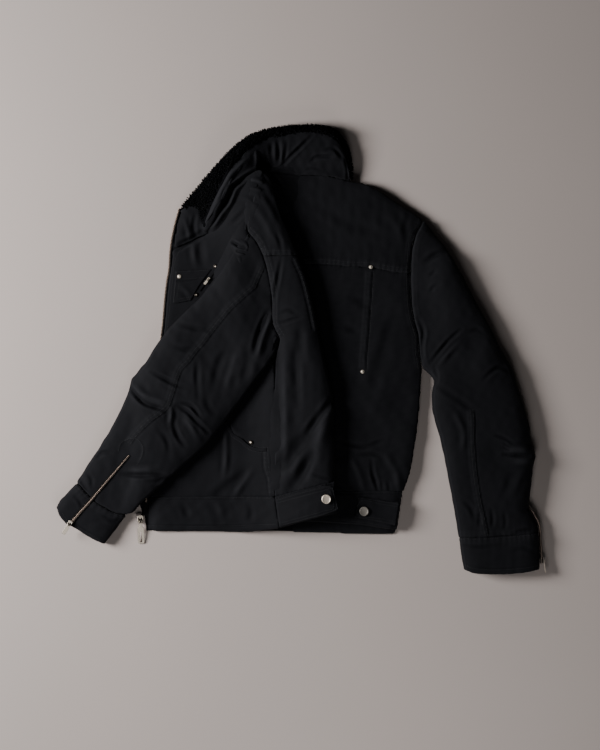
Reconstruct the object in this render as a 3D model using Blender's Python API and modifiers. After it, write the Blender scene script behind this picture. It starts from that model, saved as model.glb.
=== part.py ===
"""Black padded trucker jacket, laid out on a flat surface with its outer side up.

The right half lies on its back panel, the left front is thrown open to the left, and the left part of
the back is folded over towards the right in one high, soft roll. Tables are in millimetres, seen from
above: +X is right, +Y runs from the hem to the collar, +Z is up, and the surface is at z = 0.
Every piece of cloth is a loft over stations: one row for each station, with a point on either edge.
"""

import math

import bmesh
import bpy
import numpy as np
from mathutils import Matrix, Vector
from mathutils.bvhtree import BVHTree

# ------------------------------------------------------------------ driving dimensions (mm)
MM = 0.001
PADDED = 8.0  # shell, wadding and lining together
COLLAR_WALL = 5.0
SEAM = 0.2  # each side of a seam stands back by this much
LAYER = 0.7  # between one layer of cloth and the next
HALF_TUBE = 17.0  # top of the right half: back panel over right front
FOLD_TOP = 46.0  # crest of the roll
FOLD_REACH = 190.0  # from the fold's edge to where the left front lies flat
NOSE = 16.0  # radius of the roll's edge
SLIT = 3.4  # height of the flat hollow inside a sleeve
CUFF_TOP_RIGHT = 25.0
CUFF_TOP_LEFT = 21.5
FOOT_GAP = 0.3  # between a fitting and the cloth that carries it
POCKET_WALL = 1.4
TAB_WALL = 3.2
FRONT_ZIP_W = 4.6
FRONT_ZIP_Z = (1.8, 4.4)  # underside and top of the strip along the front's edge
CUFF_ZIP_LEFT_W = (4.4, 8.0)  # at its lower end and at the cuff's mouth
CUFF_ZIP_RIGHT_W = 3.0
CUFF_ZIP_RIGHT_Z = (8.0, 14.5)
CHEST_ZIP_W = 2.6
RIVET_STEPS = 12
BUTTON_STEPS = 20

# The roll's right edge, from the neck to the waist: x, y
FOLD_EDGE = (
    (-62, 370), (-50, 351), (-43, 325), (-39, 304), (-32, 283), (-16, 247), (-4, 216), (7, 187),
    (18, 148), (31, 90), (40, 45), (50, 0), (59, -43), (61, -112), (61, -190), (61, -290),
)
# The left front: neck and zip edge (left), shoulder, armhole and side seam (right)
FRONT_LEFT = (
    (-71, 366, -65, 363), (-95, 355, -79, 328), (-119, 323, -89, 292), (-137, 279, -96, 259),
    (-172, 250, -109, 238), (-226, 227, -125, 215), (-229, 214, -129, 206),
    (-232, 191, -134, 192), (-236, 167, -138, 168),
    (-240, 132, -132, 132), (-243, 95, -115, 95), (-248, 50, -86, 60), (-251, 12, -60, 38),
    (-254, -10, -47, 18), (-257, -45, -46, -25), (-261, -90, -46, -85), (-265, -140, -46, -140),
    (-269, -185, -46, -185), (-272, -219, -46, -218),
)
BACK_YOKE_LEFT = (
    (-64, 364, -59, 363), (-69.4, 352, -50, 351), (-78, 330, -45, 330), (-85, 304, -39, 304),
    (-92, 276, -29, 276), (-92, 258, -20, 258), (-76, 237, -11, 234), (-64.5, 214, -4, 214),
)
BACK_LEFT = (
    (-65, 213, -4, 213), (-56, 178, 9, 180), (-50, 142, 19, 144), (-49, 92, 30, 95), (-34.5, 64, 35, 68),
    (-41, 42, 40, 45), (-44, 2, 50, 0), (-45, -43, 59, -43), (-45, -112, 61, -112),
    (-45, -160, 61, -158), (-45, -218, 61, -190),
)
BACK_YOKE_RIGHT = (
    (-62, 358, 92, 346), (-86, 340, 116, 343), (-85, 316, 140, 332), (-80, 292, 165, 316),
    (-72, 270, 193, 298), (-64, 252, 220, 279), (-60, 238, 217, 266), (-58, 225, 205, 243),
    (-56, 213, 200, 214), (-62, 199, 203, 182),
)
NECK_SEAM = (
    (-62, 363), (-42, 360), (-18, 358.4), (12, 358.4), (40, 358.2), (62, 354.2), (76, 350), (92, 346),
)
YOKE_SEAM_RIGHT = ((-62, 199), (0, 199), (52, 198), (94, 194), (124, 193), (171, 185), (203, 182))
BACK_RIGHT = (
    (-62, 199, 203, 182), (-54, 150, 200, 146), (-45, 110, 204, 106), (-39, 75, 213, 74),
    (-32, 45, 216, 43), (-25, 14, 219, 14), (-17, -20, 217, -20), (-12, -55, 215, -55),
    (-11, -95, 211, -95), (-11, -140, 204, -140), (-11, -175, 197, -178), (-11, -209, 187, -208),
)
FRONT_RIGHT = (
    (-60, 346, 90, 344), (-60, 310, 150, 322), (-60, 272, 193, 295), (-62, 246, 218, 270),
    (-64, 220, 203, 225), (-64, 180, 202, 180), (-52, 130, 201, 130), (-42, 80, 211, 80),
    (-28, 14, 218, 14), (-15, -55, 214, -55), (-13, -120, 207, -120), (-13, -207, 187, -207),
)
# The hidden turns of the back beneath the roll
HIDDEN = (
    (-130, 276, -114, 277), (-146, 250, -98, 251), (-148, 225, -87, 225), (-133, 187, -69, 187),
    (-122, 148, -57.5, 148), (-109, 90, -44.8, 90), (-100, 45, -35.5, 45), (-90, 0, -26.2, 0),
    (-81, -43, -18, -43), (-79, -112, -13.8, -112), (-79, -190, -13.6, -190), (-79, -266, -13.6, -266),
)
SLEEVE_RIGHT = (  # underarm side, outer side
    (220, 14, 221, 279), (230, 4, 248, 245), (239, -5, 272, 213), (242, -14, 293, 175),
    (238, -26, 319, 124), (237, -42, 340, 88), (238, -63, 358, 50), (243, -85, 380, 11),
    (251, -109, 399, -50), (258, -140, 411, -92), (263, -165, 414, -122), (267, -188, 423, -146),
    (271, -208, 418, -163), (276, -232, 414, -200), (281, -260, 409, -240), (284, -280, 425, -268),
    (286, -292, 427, -284),
)
ARMHOLE_RIGHT = (
    (220, 14), (215, 43), (214, 72), (204, 106), (200, 144), (200, 200), (205, 243), (218, 268),
    (221, 279),
)
CUFF_RIGHT = ((286, -292, 427, -284), (289, -312, 429, -305), (292, -333, 430, -329),
              (295, -349, 429, -349))
CUFF_MOUTH_RIGHT = ((295, -349), (311, -355), (353, -357), (400, -354), (429, -349))
SLEEVE_LEFT = (  # lower right side, upper left side
    (-36, 68, -94, 257), (-41, 52, -107, 237), (-48, 36, -127, 207), (-60, 17, -142, 187),
    (-74, 0, -161, 161), (-88, -18, -182, 135), (-107, -45, -210, 108), (-128, -73, -236, 82),
    (-148, -98, -258, 52), (-166, -121, -276, 23), (-186, -141, -302, -7), (-205, -158, -307, -28),
    (-222, -173, -318, -55), (-238, -187, -333, -85), (-262, -208, -354, -122),
    (-284, -228, -378, -157), (-301, -247, -400, -193),
)
ARMHOLE_LEFT = (
    (-36, 68), (-49, 90), (-50, 115), (-50, 142), (-56, 178), (-65, 212), (-77, 238), (-94, 257),
)
CUFF_SEAM_LEFT = ((-301, -247), (-315, -250), (-334, -246), (-367, -227), (-384, -209), (-400, -193))
CUFF_START_LEFT = ((-312, -252), (-334, -248), (-367, -229), (-385, -211), (-401, -195))
CUFF_LEFT = ((-312, -252, -401, -195), (-325, -268, -418, -213), (-339, -287, -430, -226),
             (-352, -303, -437, -238))
CUFF_MOUTH_LEFT = ((-352, -303), (-380, -289), (-406, -273), (-421, -265), (-430, -253), (-437, -238))
# Collar stations from the zip end round the back of the neck. Columns: neck seam, edge of the canvas,
# outer edge of the pile, then heights: at the neck, at the crest, at the canvas edge.
COLLAR = (
    ((-229, 227), (-215, 296), (-213, 299), (9, 12, 10)),
    ((-212, 234), (-198, 303), (-204, 313), (10, 14, 12)),
    ((-194, 242), (-181, 301), (-192, 327), (10, 15, 13)),
    ((-181, 249), (-176, 281), (-184, 336), (9, 15, 14)),
    ((-166, 254), (-172, 264), (-177, 343), (9, 17, 18)),
    ((-150, 263), (-167, 275), (-171, 350), (9, 24, 25)),
    ((-139, 281), (-157, 295), (-160, 362), (9, 34, 33)),
    ((-130, 301), (-148, 315), (-147, 376), (9, 41, 39)),
    ((-122, 322), (-137, 337), (-133, 391), (9, 45, 43)),
    ((-112, 340), (-126, 358), (-118, 406), (9, 48, 45)),
    ((-97, 356), (-113, 376), (-104, 417), (9, 48, 45)),
    ((-83, 364), (-101, 393), (-90, 427), (9, 46, 42)),
    ((-71, 369), (-88, 408), (-78, 432), (10, 40, 38)),
    ((-58, 366), (-72, 420), (-62, 438), (14, 34, 32)),
    ((-42, 361), (-50, 427), (-42, 442), (18, 30, 29)),
    ((-18, 359), (-22, 431), (-20, 445), (18, 29, 28)),
    ((12, 359), (10, 435), (10, 446), (18, 29, 28)),
    ((40, 359), (38, 434), (38, 445), (18, 29, 28)),
    ((62, 355), (58, 426), (64, 437), (18, 28, 27)),
    ((76, 351), (71, 414), (77, 420), (17, 26, 24)),
    ((84, 349), (81, 394), (86, 401), (16, 23, 22)),
    ((91, 347), (90, 356), (95, 352), (15, 18, 18)),
)
BAND_FRONT_LEFT = ((-272, -219.1, -274, -281), (-220, -218.9, -222, -281), (-149, -218.6, -149, -281),
                   (-95, -218.4, -92, -282), (-46, -218.1, -37, -275))
BAND_BACK_LEFT = ((-45, -218.1, -36, -274), (-20, -211.5, -12, -267), (18, -201.5, 20, -257),
                  (61, -190.1, 66, -246))
TAB_LEFT = ((-43, -221, -35, -272), (-5, -210, 0, -262), (40, -198.5, 45, -250),
            (60, -199, 70, -240))
BAND_BACK_RIGHT = ((-11, -209.1, -11, -262), (50, -208.8, 50, -265), (110, -208.5, 107, -269),
                   (150, -208.3, 145, -275), (187, -208.1, 176, -280))
TAB_RIGHT = ((105, -218, 97, -256), (126, -221, 122, -260), (152, -225, 147, -265),
             (178, -229, 171, -270))
BAND_FRONT_RIGHT = ((-13, -207.1, -13, -283), (60, -207.1, 60, -285), (130, -207.1, 130, -286),
                    (187, -207.1, 172, -286))

# Large folds: from x, y to x, y, half width, height (troughs are negative), for each piece
FOLDS = {
    "back_right": ((-10, -165, 190, -150, 16, 2.5), (40, -190, 185, -185, 10, -1.5),
                   (200, 0, 120, -60, 14, 2)),
    "back_yoke_right": ((90, 330, 190, 235, 26, 2),),
    "back_left": ((-26, 60, -24, -190, 12, 2.5), (59, -45, 20, -85, 9, -4), (28, -135, -3, -205, 9, -4)),
    "front_left": ((-137, -75, -137, -200, 14, 4), (-210, 210, -150, 215, 16, 2.5),
                   (-105, -160, -145, -215, 10, 2)),
    "sleeve_right": ((222, 150, 300, 200, 26, 3), (230, 20, 330, 60, 12, -4), (300, 20, 395, 20, 16, 3),
                     (330, -140, 425, -140, 8, -3), (395, -150, 425, -150, 14, 3),
                     (262, -40, 320, -70, 10, -2.5)),
    "sleeve_left": ((-305, -20, -240, -62, 8, -6), (-215, -50, -180, -82, 8, -4),
                    (-235, -62, -165, -100, 8, 4), (-250, 90, -180, 40, 18, 3),
                    (-320, -178, -240, -178, 8, -4)),
}

# Cross-section of a sleeve lying flat, from its left side over the top: across (-1 to 1), height (0 to 1)
TUBE_TOP = (
    (-1.0, 0.42), (-0.985, 0.64), (-0.93, 0.83), (-0.80, 0.95), (-0.60, 1.0), (-0.40, 1.0), (-0.2, 1.0),
    (0.0, 1.0), (0.2, 1.0), (0.40, 1.0), (0.60, 1.0), (0.80, 0.95), (0.93, 0.83), (0.985, 0.64),
    (1.0, 0.42),
)
TUBE_UNDER = (
    (0.985, 0.18), (0.93, 0.03), (0.80, 0.0), (0.55, 0.0), (0.30, 0.0), (0.05, 0.0), (-0.2, 0.0),
    (-0.45, 0.0), (-0.70, 0.0), (-0.93, 0.03), (-0.985, 0.18),
)
TUBE_SECTION = TUBE_TOP + TUBE_UNDER
SLEEVE_SETBACK = 0.9  # a sleeve's end ring has fewer points than the armhole, so it stands back further

# Rivets: name, the pieces that it is set in, x, y
RIVETS = (
    ("rivet_chest_band", ("pocket_chest",), -217, 177), ("rivet_chest_zip_top", ("front_left",), -151.5, 195),
    ("rivet_chest_zip_low", ("front_left",), -186, 144), ("rivet_hand_pocket", ("front_left",), -88, -121),
    ("rivet_pleat_top", ("back_yoke_right", "back_right"), 127, 193.5),
    ("rivet_pleat_low", ("back_right",), 112, 6),
)
# Shank buttons: name, tab, x, y
BUTTONS = (("button_left", ("tab_left",), 47, -221), ("button_right", ("tab_right",), 115, -244))
# Turned profiles from the top of the axis to its foot: radius, height
RIVET_PROFILE = ((0, 1.7), (1.2, 1.6), (1.7, 1.15), (3.4, 1.0), (4.1, 0.6), (4.25, 0.0), (0, 0))
BUTTON_PROFILE = (
    (0, 3.3), (6.2, 3.3), (6.7, 3.8), (7.6, 3.8), (8.3, 3.3), (8.5, 2.6), (8.2, 1.9), (4.5, 1.6),
    (4.0, 0.0), (0, 0),
)
# Zips, as the middle line of each strip, with its width at either end
FRONT_ZIP = (
    (-216.5, 299), (-221, 283), (-226.5, 262), (-232.5, 228), (-235, 191), (-239, 167), (-243, 132),
    (-246, 95),
    (-251, 50), (-254.5, 10), (-258, -20), (-264, -90), (-268, -140), (-272, -185), (-275.5, -219),
    (-279, -240), (-285, -256), (-286, -262),
)
CUFF_ZIP_LEFT = (
    (-307, -144), (-330, -171), (-350, -194), (-365, -212), (-377, -226), (-390, -240), (-412, -265),
)
CUFF_ZIP_RIGHT = (
    (411, -238), (419.2, -251), (428.0, -270), (429.5, -290), (431.2, -312), (432, -338),
)
CHEST_ZIP = ((-180, 151), (-171, 163), (-160, 177), (-147.5, 190), (-135, 205))
HAND_POCKET = (
    (-133, -84), (-127, -97), (-120, -108), (-106, -117), (-92, -129), (-75, -134), (-60, -134),
)
POCKET_CHEST = ((-223.5, 187, -159, 190), (-226, 158, -181, 161), (-228, 129, -196, 134))
# Sliders and pulls: name, hinge x and y, heading of the pull and its droop in degrees, size against the
# front zip's, length of the pull, and what is below (none: the slider faces sideways, at a given height)
ZIP_PULLS = (
    ("front", -287, -262, -88, 10.5, 1.0, 42, ("front_zip",)),
    ("cuff_left", -413.5, -267.5, -122, 12, 0.72, 21, ("cuff_left", "cuff_zip_left")),
    ("cuff_right", 438.0, -334, -82, 0, 0.72, 21, ()),
    ("chest", -165, 171.5, -127, 3, 0.42, 11, ("chest_zip",)),
)
SIDE_SLIDER_Z = 11.2
# Slider, in its own frame: hinge along x at the origin, pull towards -y, outside towards +z
SLIDER_BODY = ((-5.6, -4.4, -4.7), (5.6, 10.0, -1.7))
SLIDER_POSTS = (((-1.1, -3.5, -2.0), (1.1, -2.1, 2.6)), ((-1.1, 1.9, -2.0), (1.1, 3.3, 2.6)),
                ((-1.1, -3.5, 1.4), (1.1, 3.3, 2.6)))
PULL_THICK = 1.4
PULL_HALF_WIDTH = 5.3
PULL_NECK = 3.2  # half width at the hinge
PULL_EYE = (2.0, 0.75, 5.2)  # half width of the eye, and where it starts and ends from the hinge

# ------------------------------------------------------------------ scene and materials
def clear_scene():
    for old in list(bpy.data.objects):
        bpy.data.objects.remove(old, do_unlink=True)


def make_collection(name):
    collection = bpy.data.collections.new(name)
    bpy.context.scene.collection.children.link(collection)
    return collection


def material(name, colour, roughness, metallic=0.0):
    made = bpy.data.materials.new(name)
    made.use_nodes = True
    shader = made.node_tree.nodes["Principled BSDF"]
    shader.inputs["Base Color"].default_value = (*colour, 1.0)
    shader.inputs["Roughness"].default_value = roughness
    shader.inputs["Metallic"].default_value = metallic
    return made


CANVAS = dict(colour=(0.012, 0.012, 0.014), roughness=0.85)
PILE = dict(colour=(0.004, 0.004, 0.005), roughness=1.0)
NICKEL = dict(colour=(0.62, 0.60, 0.57), roughness=0.28, metallic=1.0)


# ------------------------------------------------------------------ curves and heights
def smooth(rows, per_station):
    """Catmull-Rom through a table's rows, with per_station steps from each row to the next."""
    rows = np.array(rows, float)
    padded = np.vstack([2 * rows[0] - rows[1], rows, 2 * rows[-1] - rows[-2]])
    out = []
    for i in range(len(rows) - 1):
        a, b, c, d = padded[i:i + 4]
        for t in np.arange(per_station) / per_station:
            out.append(0.5 * (2 * b + (c - a) * t + (2 * a - 5 * b + 4 * c - d) * t ** 2
                              + (3 * b - a - 3 * c + d) * t ** 3))
    out.append(rows[-1])
    return np.array(out)


def along(points, fractions):
    """Points at these fractions of a smooth curve's length."""
    line = smooth(points, 8)
    run = np.concatenate([[0], np.cumsum(np.linalg.norm(np.diff(line, axis=0), axis=1))])
    at = np.asarray(fractions) * run[-1]
    return np.stack([np.interp(at, run, line[:, k]) for k in range(2)], axis=-1)


def step(value, low, high):
    t = np.clip((value - low) / (high - low), 0, 1)
    return t * t * (3 - 2 * t)


def fold_edge_x(y):
    line = np.array(FOLD_EDGE, float)[::-1]
    return np.interp(y, line[:, 1], line[:, 0])


def body_top(x, y):
    """Top of the cloth on the left front and the roll: flat at the left, rising to the roll's crest."""
    inward = fold_edge_x(y) - x
    return PADDED + (FOLD_TOP - PADDED) * step(FOLD_REACH - inward, 0, FOLD_REACH - 15)


def folds(name, x, y):
    """Height that a piece's large folds add."""
    total = np.zeros_like(x)
    for x0, y0, x1, y1, half, height in FOLDS.get(name, ()):
        run = np.array([x1 - x0, y1 - y0], float)
        length = np.hypot(*run)
        t = ((x - x0) * run[0] + (y - y0) * run[1]) / length ** 2
        off = np.abs((x - x0) * run[1] - (y - y0) * run[0]) / length
        ends = step(t, -0.12, 0.2) * (1 - step(t, 0.8, 1.12))
        total += height * ends * np.exp(-((off / half) ** 2))
    return total


def rounding(distance, radius):
    """0 at a free edge, 1 from radius inwards, on a quarter circle."""
    t = np.clip(distance / radius, 0, 1)
    return np.sqrt(1 - (1 - t) ** 2)


# ------------------------------------------------------------------ cloth solids
def sheet_grid(stations, across, per_station, start=None, end=None):
    """Grid of x, y over straight rows between the two edges; start and end bend the end rows."""
    rows = smooth(stations, per_station)
    u = np.asarray(across)[None, :, None]
    grid = rows[:, None, :2] * (1 - u) + rows[:, None, 2:] * u
    v = np.linspace(0, 1, len(rows))[:, None, None]
    if start is not None:
        grid = grid + (along(start, across) - grid[0])[None] * (1 - step(v, 0, 0.25))
    if end is not None:
        grid = grid + (along(end, across) - grid[-1])[None] * step(v, 0.75, 1)
    return grid


def to_armhole(grid, armhole, column):
    """Moves a side of the grid onto the armhole's line, as far as that line runs."""
    line = along(armhole, [(across + 1) / 2 for across, _ in TUBE_TOP])
    line = line[np.argsort(line[:, 1])]
    y = grid[:, column, 1]
    beside = (y > line[0, 1] + 1) & (y < line[-1, 1] - 1)
    stand_off = 2 * SEAM if column == 0 else -2 * SEAM
    grid[beside, column, 0] = np.interp(y, line[:, 1], line[:, 0])[beside] + stand_off
    return grid


def distance_in(grid, side):
    """Distance of each grid point from one side of the grid."""
    edge = {"left": grid[:, 0], "right": grid[:, -1], "start": grid[0], "end": grid[-1]}[side]
    a, b = edge[:-1], edge[1:]
    run = b - a
    away = grid[:, :, None, :] - a[None, None]
    t = np.clip((away * run).sum(-1) / np.maximum((run ** 2).sum(-1), 1e-9), 0, 1)
    return np.linalg.norm(away - t[..., None] * run, axis=-1).min(-1)


def pull_in(grid, sides, by=SEAM):
    """Stands the grid back from its seams."""
    grid = grid.copy()
    if "left" in sides:
        grid[:, 0] += by * unit(grid[:, 1] - grid[:, 0])
    if "right" in sides:
        grid[:, -1] += by * unit(grid[:, -2] - grid[:, -1])
    if "start" in sides:
        grid[0] += by * unit(grid[1] - grid[0])
    if "end" in sides:
        grid[-1] += by * unit(grid[-2] - grid[-1])
    return grid


def unit(v):
    return v / np.maximum(np.linalg.norm(v, axis=-1, keepdims=True), 1e-6)


def finish_mesh(name, verts, faces, look):
    mesh = bpy.data.meshes.new(name)
    built = bmesh.new()
    made = [built.verts.new(Vector(p) * MM) for p in verts]
    for face in faces:
        corners = []
        for index in face:
            if made[index] not in corners:
                corners.append(made[index])
        if len(corners) > 2 and built.faces.get(corners) is None:
            built.faces.new(corners)
    bmesh.ops.remove_doubles(built, verts=built.verts, dist=0.00002)
    bmesh.ops.dissolve_degenerate(built, edges=built.edges, dist=0.00001)
    bmesh.ops.triangulate(built, faces=built.faces)
    bmesh.ops.recalc_face_normals(built, faces=built.faces)
    built.to_mesh(mesh)
    built.free()
    mesh.shade_smooth()
    obj = bpy.data.objects.new(name, mesh)
    JACKET.objects.link(obj)
    mesh.materials.append(material(name, **look))
    return obj


def cloth(name, grid, top, bottom, free=(), radius=7.0, rim=0.4, look=None):
    """A closed wall between two height fields on one grid, rounded at its free sides.

    bottom is a number for a piece that lies flat, or heights on the grid.
    """
    grid = pull_in(grid, {"left", "right", "start", "end"} - set(free))
    inward = np.full(grid.shape[:2], 1e9)
    for side in free:
        inward = np.minimum(inward, distance_in(grid, side))
    keep = rounding(inward, radius)
    flat = np.ndim(bottom) == 0
    low = np.full(grid.shape[:2], float(bottom)) if flat else bottom
    edge = low + rim * (top - low)
    high = edge + (top - edge) * keep
    n, m = grid.shape[:2]
    verts = [(*grid[i, j], high[i, j]) for i in range(n) for j in range(m)]
    faces = [(i * m + j, i * m + j + 1, (i + 1) * m + j + 1, (i + 1) * m + j)
             for i in range(n - 1) for j in range(m - 1)]
    rim_loop = ([(0, j) for j in range(m)] + [(i, m - 1) for i in range(1, n)]
                + [(n - 1, j) for j in range(m - 2, -1, -1)] + [(i, 0) for i in range(n - 2, 0, -1)])
    if flat:
        # the underside is one flat face, set in from the free sides
        inset = {side: int(side in free) for side in ("left", "right", "start", "end")}
        under = {}
        for i, j in rim_loop:
            at = (min(max(i, inset["start"]), n - 1 - inset["end"]),
                  min(max(j, inset["left"]), m - 1 - inset["right"]))
            if at not in under:
                under[at] = len(verts)
                verts.append((*grid[at], float(bottom)))
            under[(i, j, "rim")] = under[at]
        for here, there in zip(rim_loop, rim_loop[1:] + rim_loop[:1]):
            faces.append((here[0] * m + here[1], there[0] * m + there[1],
                          under[(*there, "rim")], under[(*here, "rim")]))
        loop = []
        for here in rim_loop:
            index = under[(*here, "rim")]
            if index not in loop:
                loop.append(index)
        faces.append(tuple(reversed(loop)))
    else:
        shelf = edge - (edge - low) * rounding(inward, radius)
        base = len(verts)
        verts += [(*grid[i, j], shelf[i, j]) for i in range(n) for j in range(m)]
        faces += [tuple(base + k for k in reversed(face)) for face in faces[:(n - 1) * (m - 1)]]
        for here, there in zip(rim_loop, rim_loop[1:] + rim_loop[:1]):
            a, b = here[0] * m + here[1], there[0] * m + there[1]
            faces.append((a, b, base + b, base + a))
    return finish_mesh(name, verts, faces, look or CANVAS)


def tube(name, stations, per_station, bottom, top, start=None, end=None, open_start=False,
         setback=SLEEVE_SETBACK):
    """A sleeve or cuff lying flat: an outer skin and a low flat hollow that is open at its mouth."""
    across = [(s + 1) / 2 for s, _ in TUBE_SECTION]
    lift = np.array([h for _, h in TUBE_SECTION])
    order = np.argsort(across, kind="stable")
    grid = np.empty((per_station * (len(stations) - 1) + 1, len(across), 2))
    grid[:, order] = sheet_grid(stations, np.array(across)[order], per_station, start, end)
    grid = pull_in(grid, {"start"}, setback)
    low, high = bottom(grid[..., 0], grid[..., 1]), top(grid[..., 0], grid[..., 1])
    outer = np.concatenate([grid, (low + (high - low) * lift)[..., None]], axis=-1)
    far_side = len(TUBE_TOP) - 1
    centre = (outer[:, :1, :2] + outer[:, far_side:far_side + 1, :2]) / 2
    half = np.linalg.norm(outer[:, :1, :2] - centre, axis=-1, keepdims=True)
    middle = (low.mean(1) + high.mean(1))[:, None] / 2
    inner = np.concatenate([centre + (outer[..., :2] - centre) * (1 - PADDED * 1.2 / half),
                            (middle + SLIT * (lift - 0.5))[..., None]], axis=-1)
    inner = inner[::2] if open_start else inner[2::2]
    n, k = outer.shape[:2]
    verts = [tuple(p) for ring in outer for p in ring] + [tuple(p) for ring in inner for p in ring]
    base = n * k
    faces = [(i * k + j, i * k + (j + 1) % k, (i + 1) * k + (j + 1) % k, (i + 1) * k + j)
             for i in range(n - 1) for j in range(k)]
    faces += [(base + i * k + j, base + (i + 1) * k + j, base + (i + 1) * k + (j + 1) % k,
               base + i * k + (j + 1) % k) for i in range(len(inner) - 1) for j in range(k)]
    last_out, last_in = (n - 1) * k, base + (len(inner) - 1) * k
    faces += [(last_out + j, last_out + (j + 1) % k, last_in + (j + 1) % k, last_in + j) for j in range(k)]
    if open_start:
        faces += [(j, base + j, base + (j + 1) % k, (j + 1) % k) for j in range(k)]
    else:
        faces += [tuple(range(k)), tuple(range(base + k - 1, base - 1, -1))]
    return finish_mesh(name, verts, faces, CANVAS)


def from_edges(count, near=(0.0, 0.012, 0.04, 0.09), left=True, right=True):
    """Columns spread evenly, with closer ones at the rounded sides."""
    inner = np.linspace(near[-1] if left else 0, 1 - near[-1] if right else 1, count)
    first = near[:-1] if left else ()
    last = [1 - n for n in near[:-1]][::-1] if right else ()
    return np.concatenate([first, inner, last])


# ------------------------------------------------------------------ the body
def make_front_left():
    grid = sheet_grid(FRONT_LEFT, from_edges(9, (0.0, 0.02, 0.06), right=False), 2)
    x, y = grid[..., 0], grid[..., 1]
    base = body_top(x, y)
    cloth("front_left", grid, base + folds("front_left", x, y), base - PADDED, free=("left",), radius=8)


def make_rolled(name, stations, rows):
    """Part of the back on the roll: a wall whose right edge turns under as a rounded nose."""
    across = np.array([0, 0.18, 0.36, 0.52, 0.66, 0.78, 0.87, 0.94, 0.98, 1.0])
    grid = to_armhole(sheet_grid(stations, across, rows), ARMHOLE_LEFT, 0)
    x, y = grid[..., 0], grid[..., 1]
    inward = fold_edge_x(y) - x
    top = body_top(x, y) + folds(name, x, y)
    thin = body_top(x, y) - PADDED
    nose = HALF_TUBE + 4.2
    bottom = nose + (thin - nose) * step(inward, 34, 76)
    cloth(name, grid, top, bottom, free=("right",), radius=NOSE, rim=0.45)


def make_body():
    make_front_left()
    make_rolled("back_yoke_left", BACK_YOKE_LEFT, 2)
    make_rolled("back_left", BACK_LEFT, 2)
    columns = from_edges(10, (0.0, 0.012, 0.045), left=False)
    for name, stations, start, end in (
        ("back_yoke_right", BACK_YOKE_RIGHT, NECK_SEAM, YOKE_SEAM_RIGHT),
        ("back_right", BACK_RIGHT, YOKE_SEAM_RIGHT, None),
    ):
        grid = to_armhole(sheet_grid(stations, columns, 2, start, end), ARMHOLE_RIGHT, -1)
        x, y = grid[..., 0], grid[..., 1]
        crown = 1.5 * step(x, 20, 90) * (1 - step(x, 140, 200))
        top = HALF_TUBE + crown + folds(name, x, y)
        cloth(name, grid, top, PADDED + LAYER, free=("right",), radius=9, rim=0.12)
    grid = to_armhole(sheet_grid(FRONT_RIGHT, (0, 0.5, 0.93, 0.98, 1.0), 2), ARMHOLE_RIGHT, -1)
    cloth("front_right", grid, np.full(grid.shape[:2], PADDED), 0.0, free=("right",), radius=6, rim=0.85)
    grid = sheet_grid(HIDDEN, (0, 0.05, 0.3, 0.6, 0.85, 1.0), 2)
    x, y = grid[..., 0], grid[..., 1]
    cloth("hidden_layers", grid, body_top(x, y) - PADDED - LAYER - 0.6, 0.0, free=("left", "end"), radius=6)


# ------------------------------------------------------------------ sleeves and cuffs
def sleeve_right_top(x, y):
    rise = 13 * step(np.hypot(x - 206, (y - 150) * 0.3), 6, 75)
    return HALF_TUBE + rise - 4 * step(-y, 150, 290) + folds("sleeve_right", x, y)


def flat_floor(x, y):
    return np.zeros_like(x)


def sleeve_left_bottom(x, y):
    """Over the hidden layers at the armhole, over the left front, then down to the surface."""
    from_armhole = distance_to(x, y, ARMHOLE_LEFT)
    body = body_top(x, y)
    on_body = body - PADDED + 0.6 + (PADDED + 0.6) * step(from_armhole, 2, 24)
    past_zip = np.interp(y, (-281, -219, 50, 132, 226), (-274, -272, -248, -240, -228)) - x
    return on_body * (1 - step(past_zip, 14, 50))


def sleeve_left_top(x, y):
    from_armhole = distance_to(x, y, ARMHOLE_LEFT)
    low = sleeve_left_bottom(x, y)
    thick = 24 - 3 * step(-y, 60, 200)
    at_seam = body_top(x, y) + 0.5
    t = step(from_armhole, 0, 70)
    return at_seam * (1 - t) + (low + thick) * t + folds("sleeve_left", x, y)


def distance_to(x, y, points):
    line = smooth(points, 3)
    a, run = line[:-1], np.diff(line, axis=0)
    away = np.stack([x, y], -1)[..., None, :] - a
    t = np.clip((away * run).sum(-1) / (run ** 2).sum(-1), 0, 1)
    return np.linalg.norm(away - t[..., None] * run, axis=-1).min(-1)


def make_sleeves():
    tube("sleeve_right", SLEEVE_RIGHT, 1, flat_floor, sleeve_right_top, start=ARMHOLE_RIGHT)
    tube("cuff_right", CUFF_RIGHT, 2, flat_floor, lambda x, y: np.full_like(x, CUFF_TOP_RIGHT),
         end=CUFF_MOUTH_RIGHT, open_start=True, setback=2 * SEAM)
    tube("sleeve_left", SLEEVE_LEFT, 1, sleeve_left_bottom, sleeve_left_top, start=ARMHOLE_LEFT,
         end=CUFF_SEAM_LEFT)
    tube("cuff_left", CUFF_LEFT, 2, flat_floor, lambda x, y: np.full_like(x, CUFF_TOP_LEFT),
         start=CUFF_START_LEFT, end=CUFF_MOUTH_LEFT, open_start=True)


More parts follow.
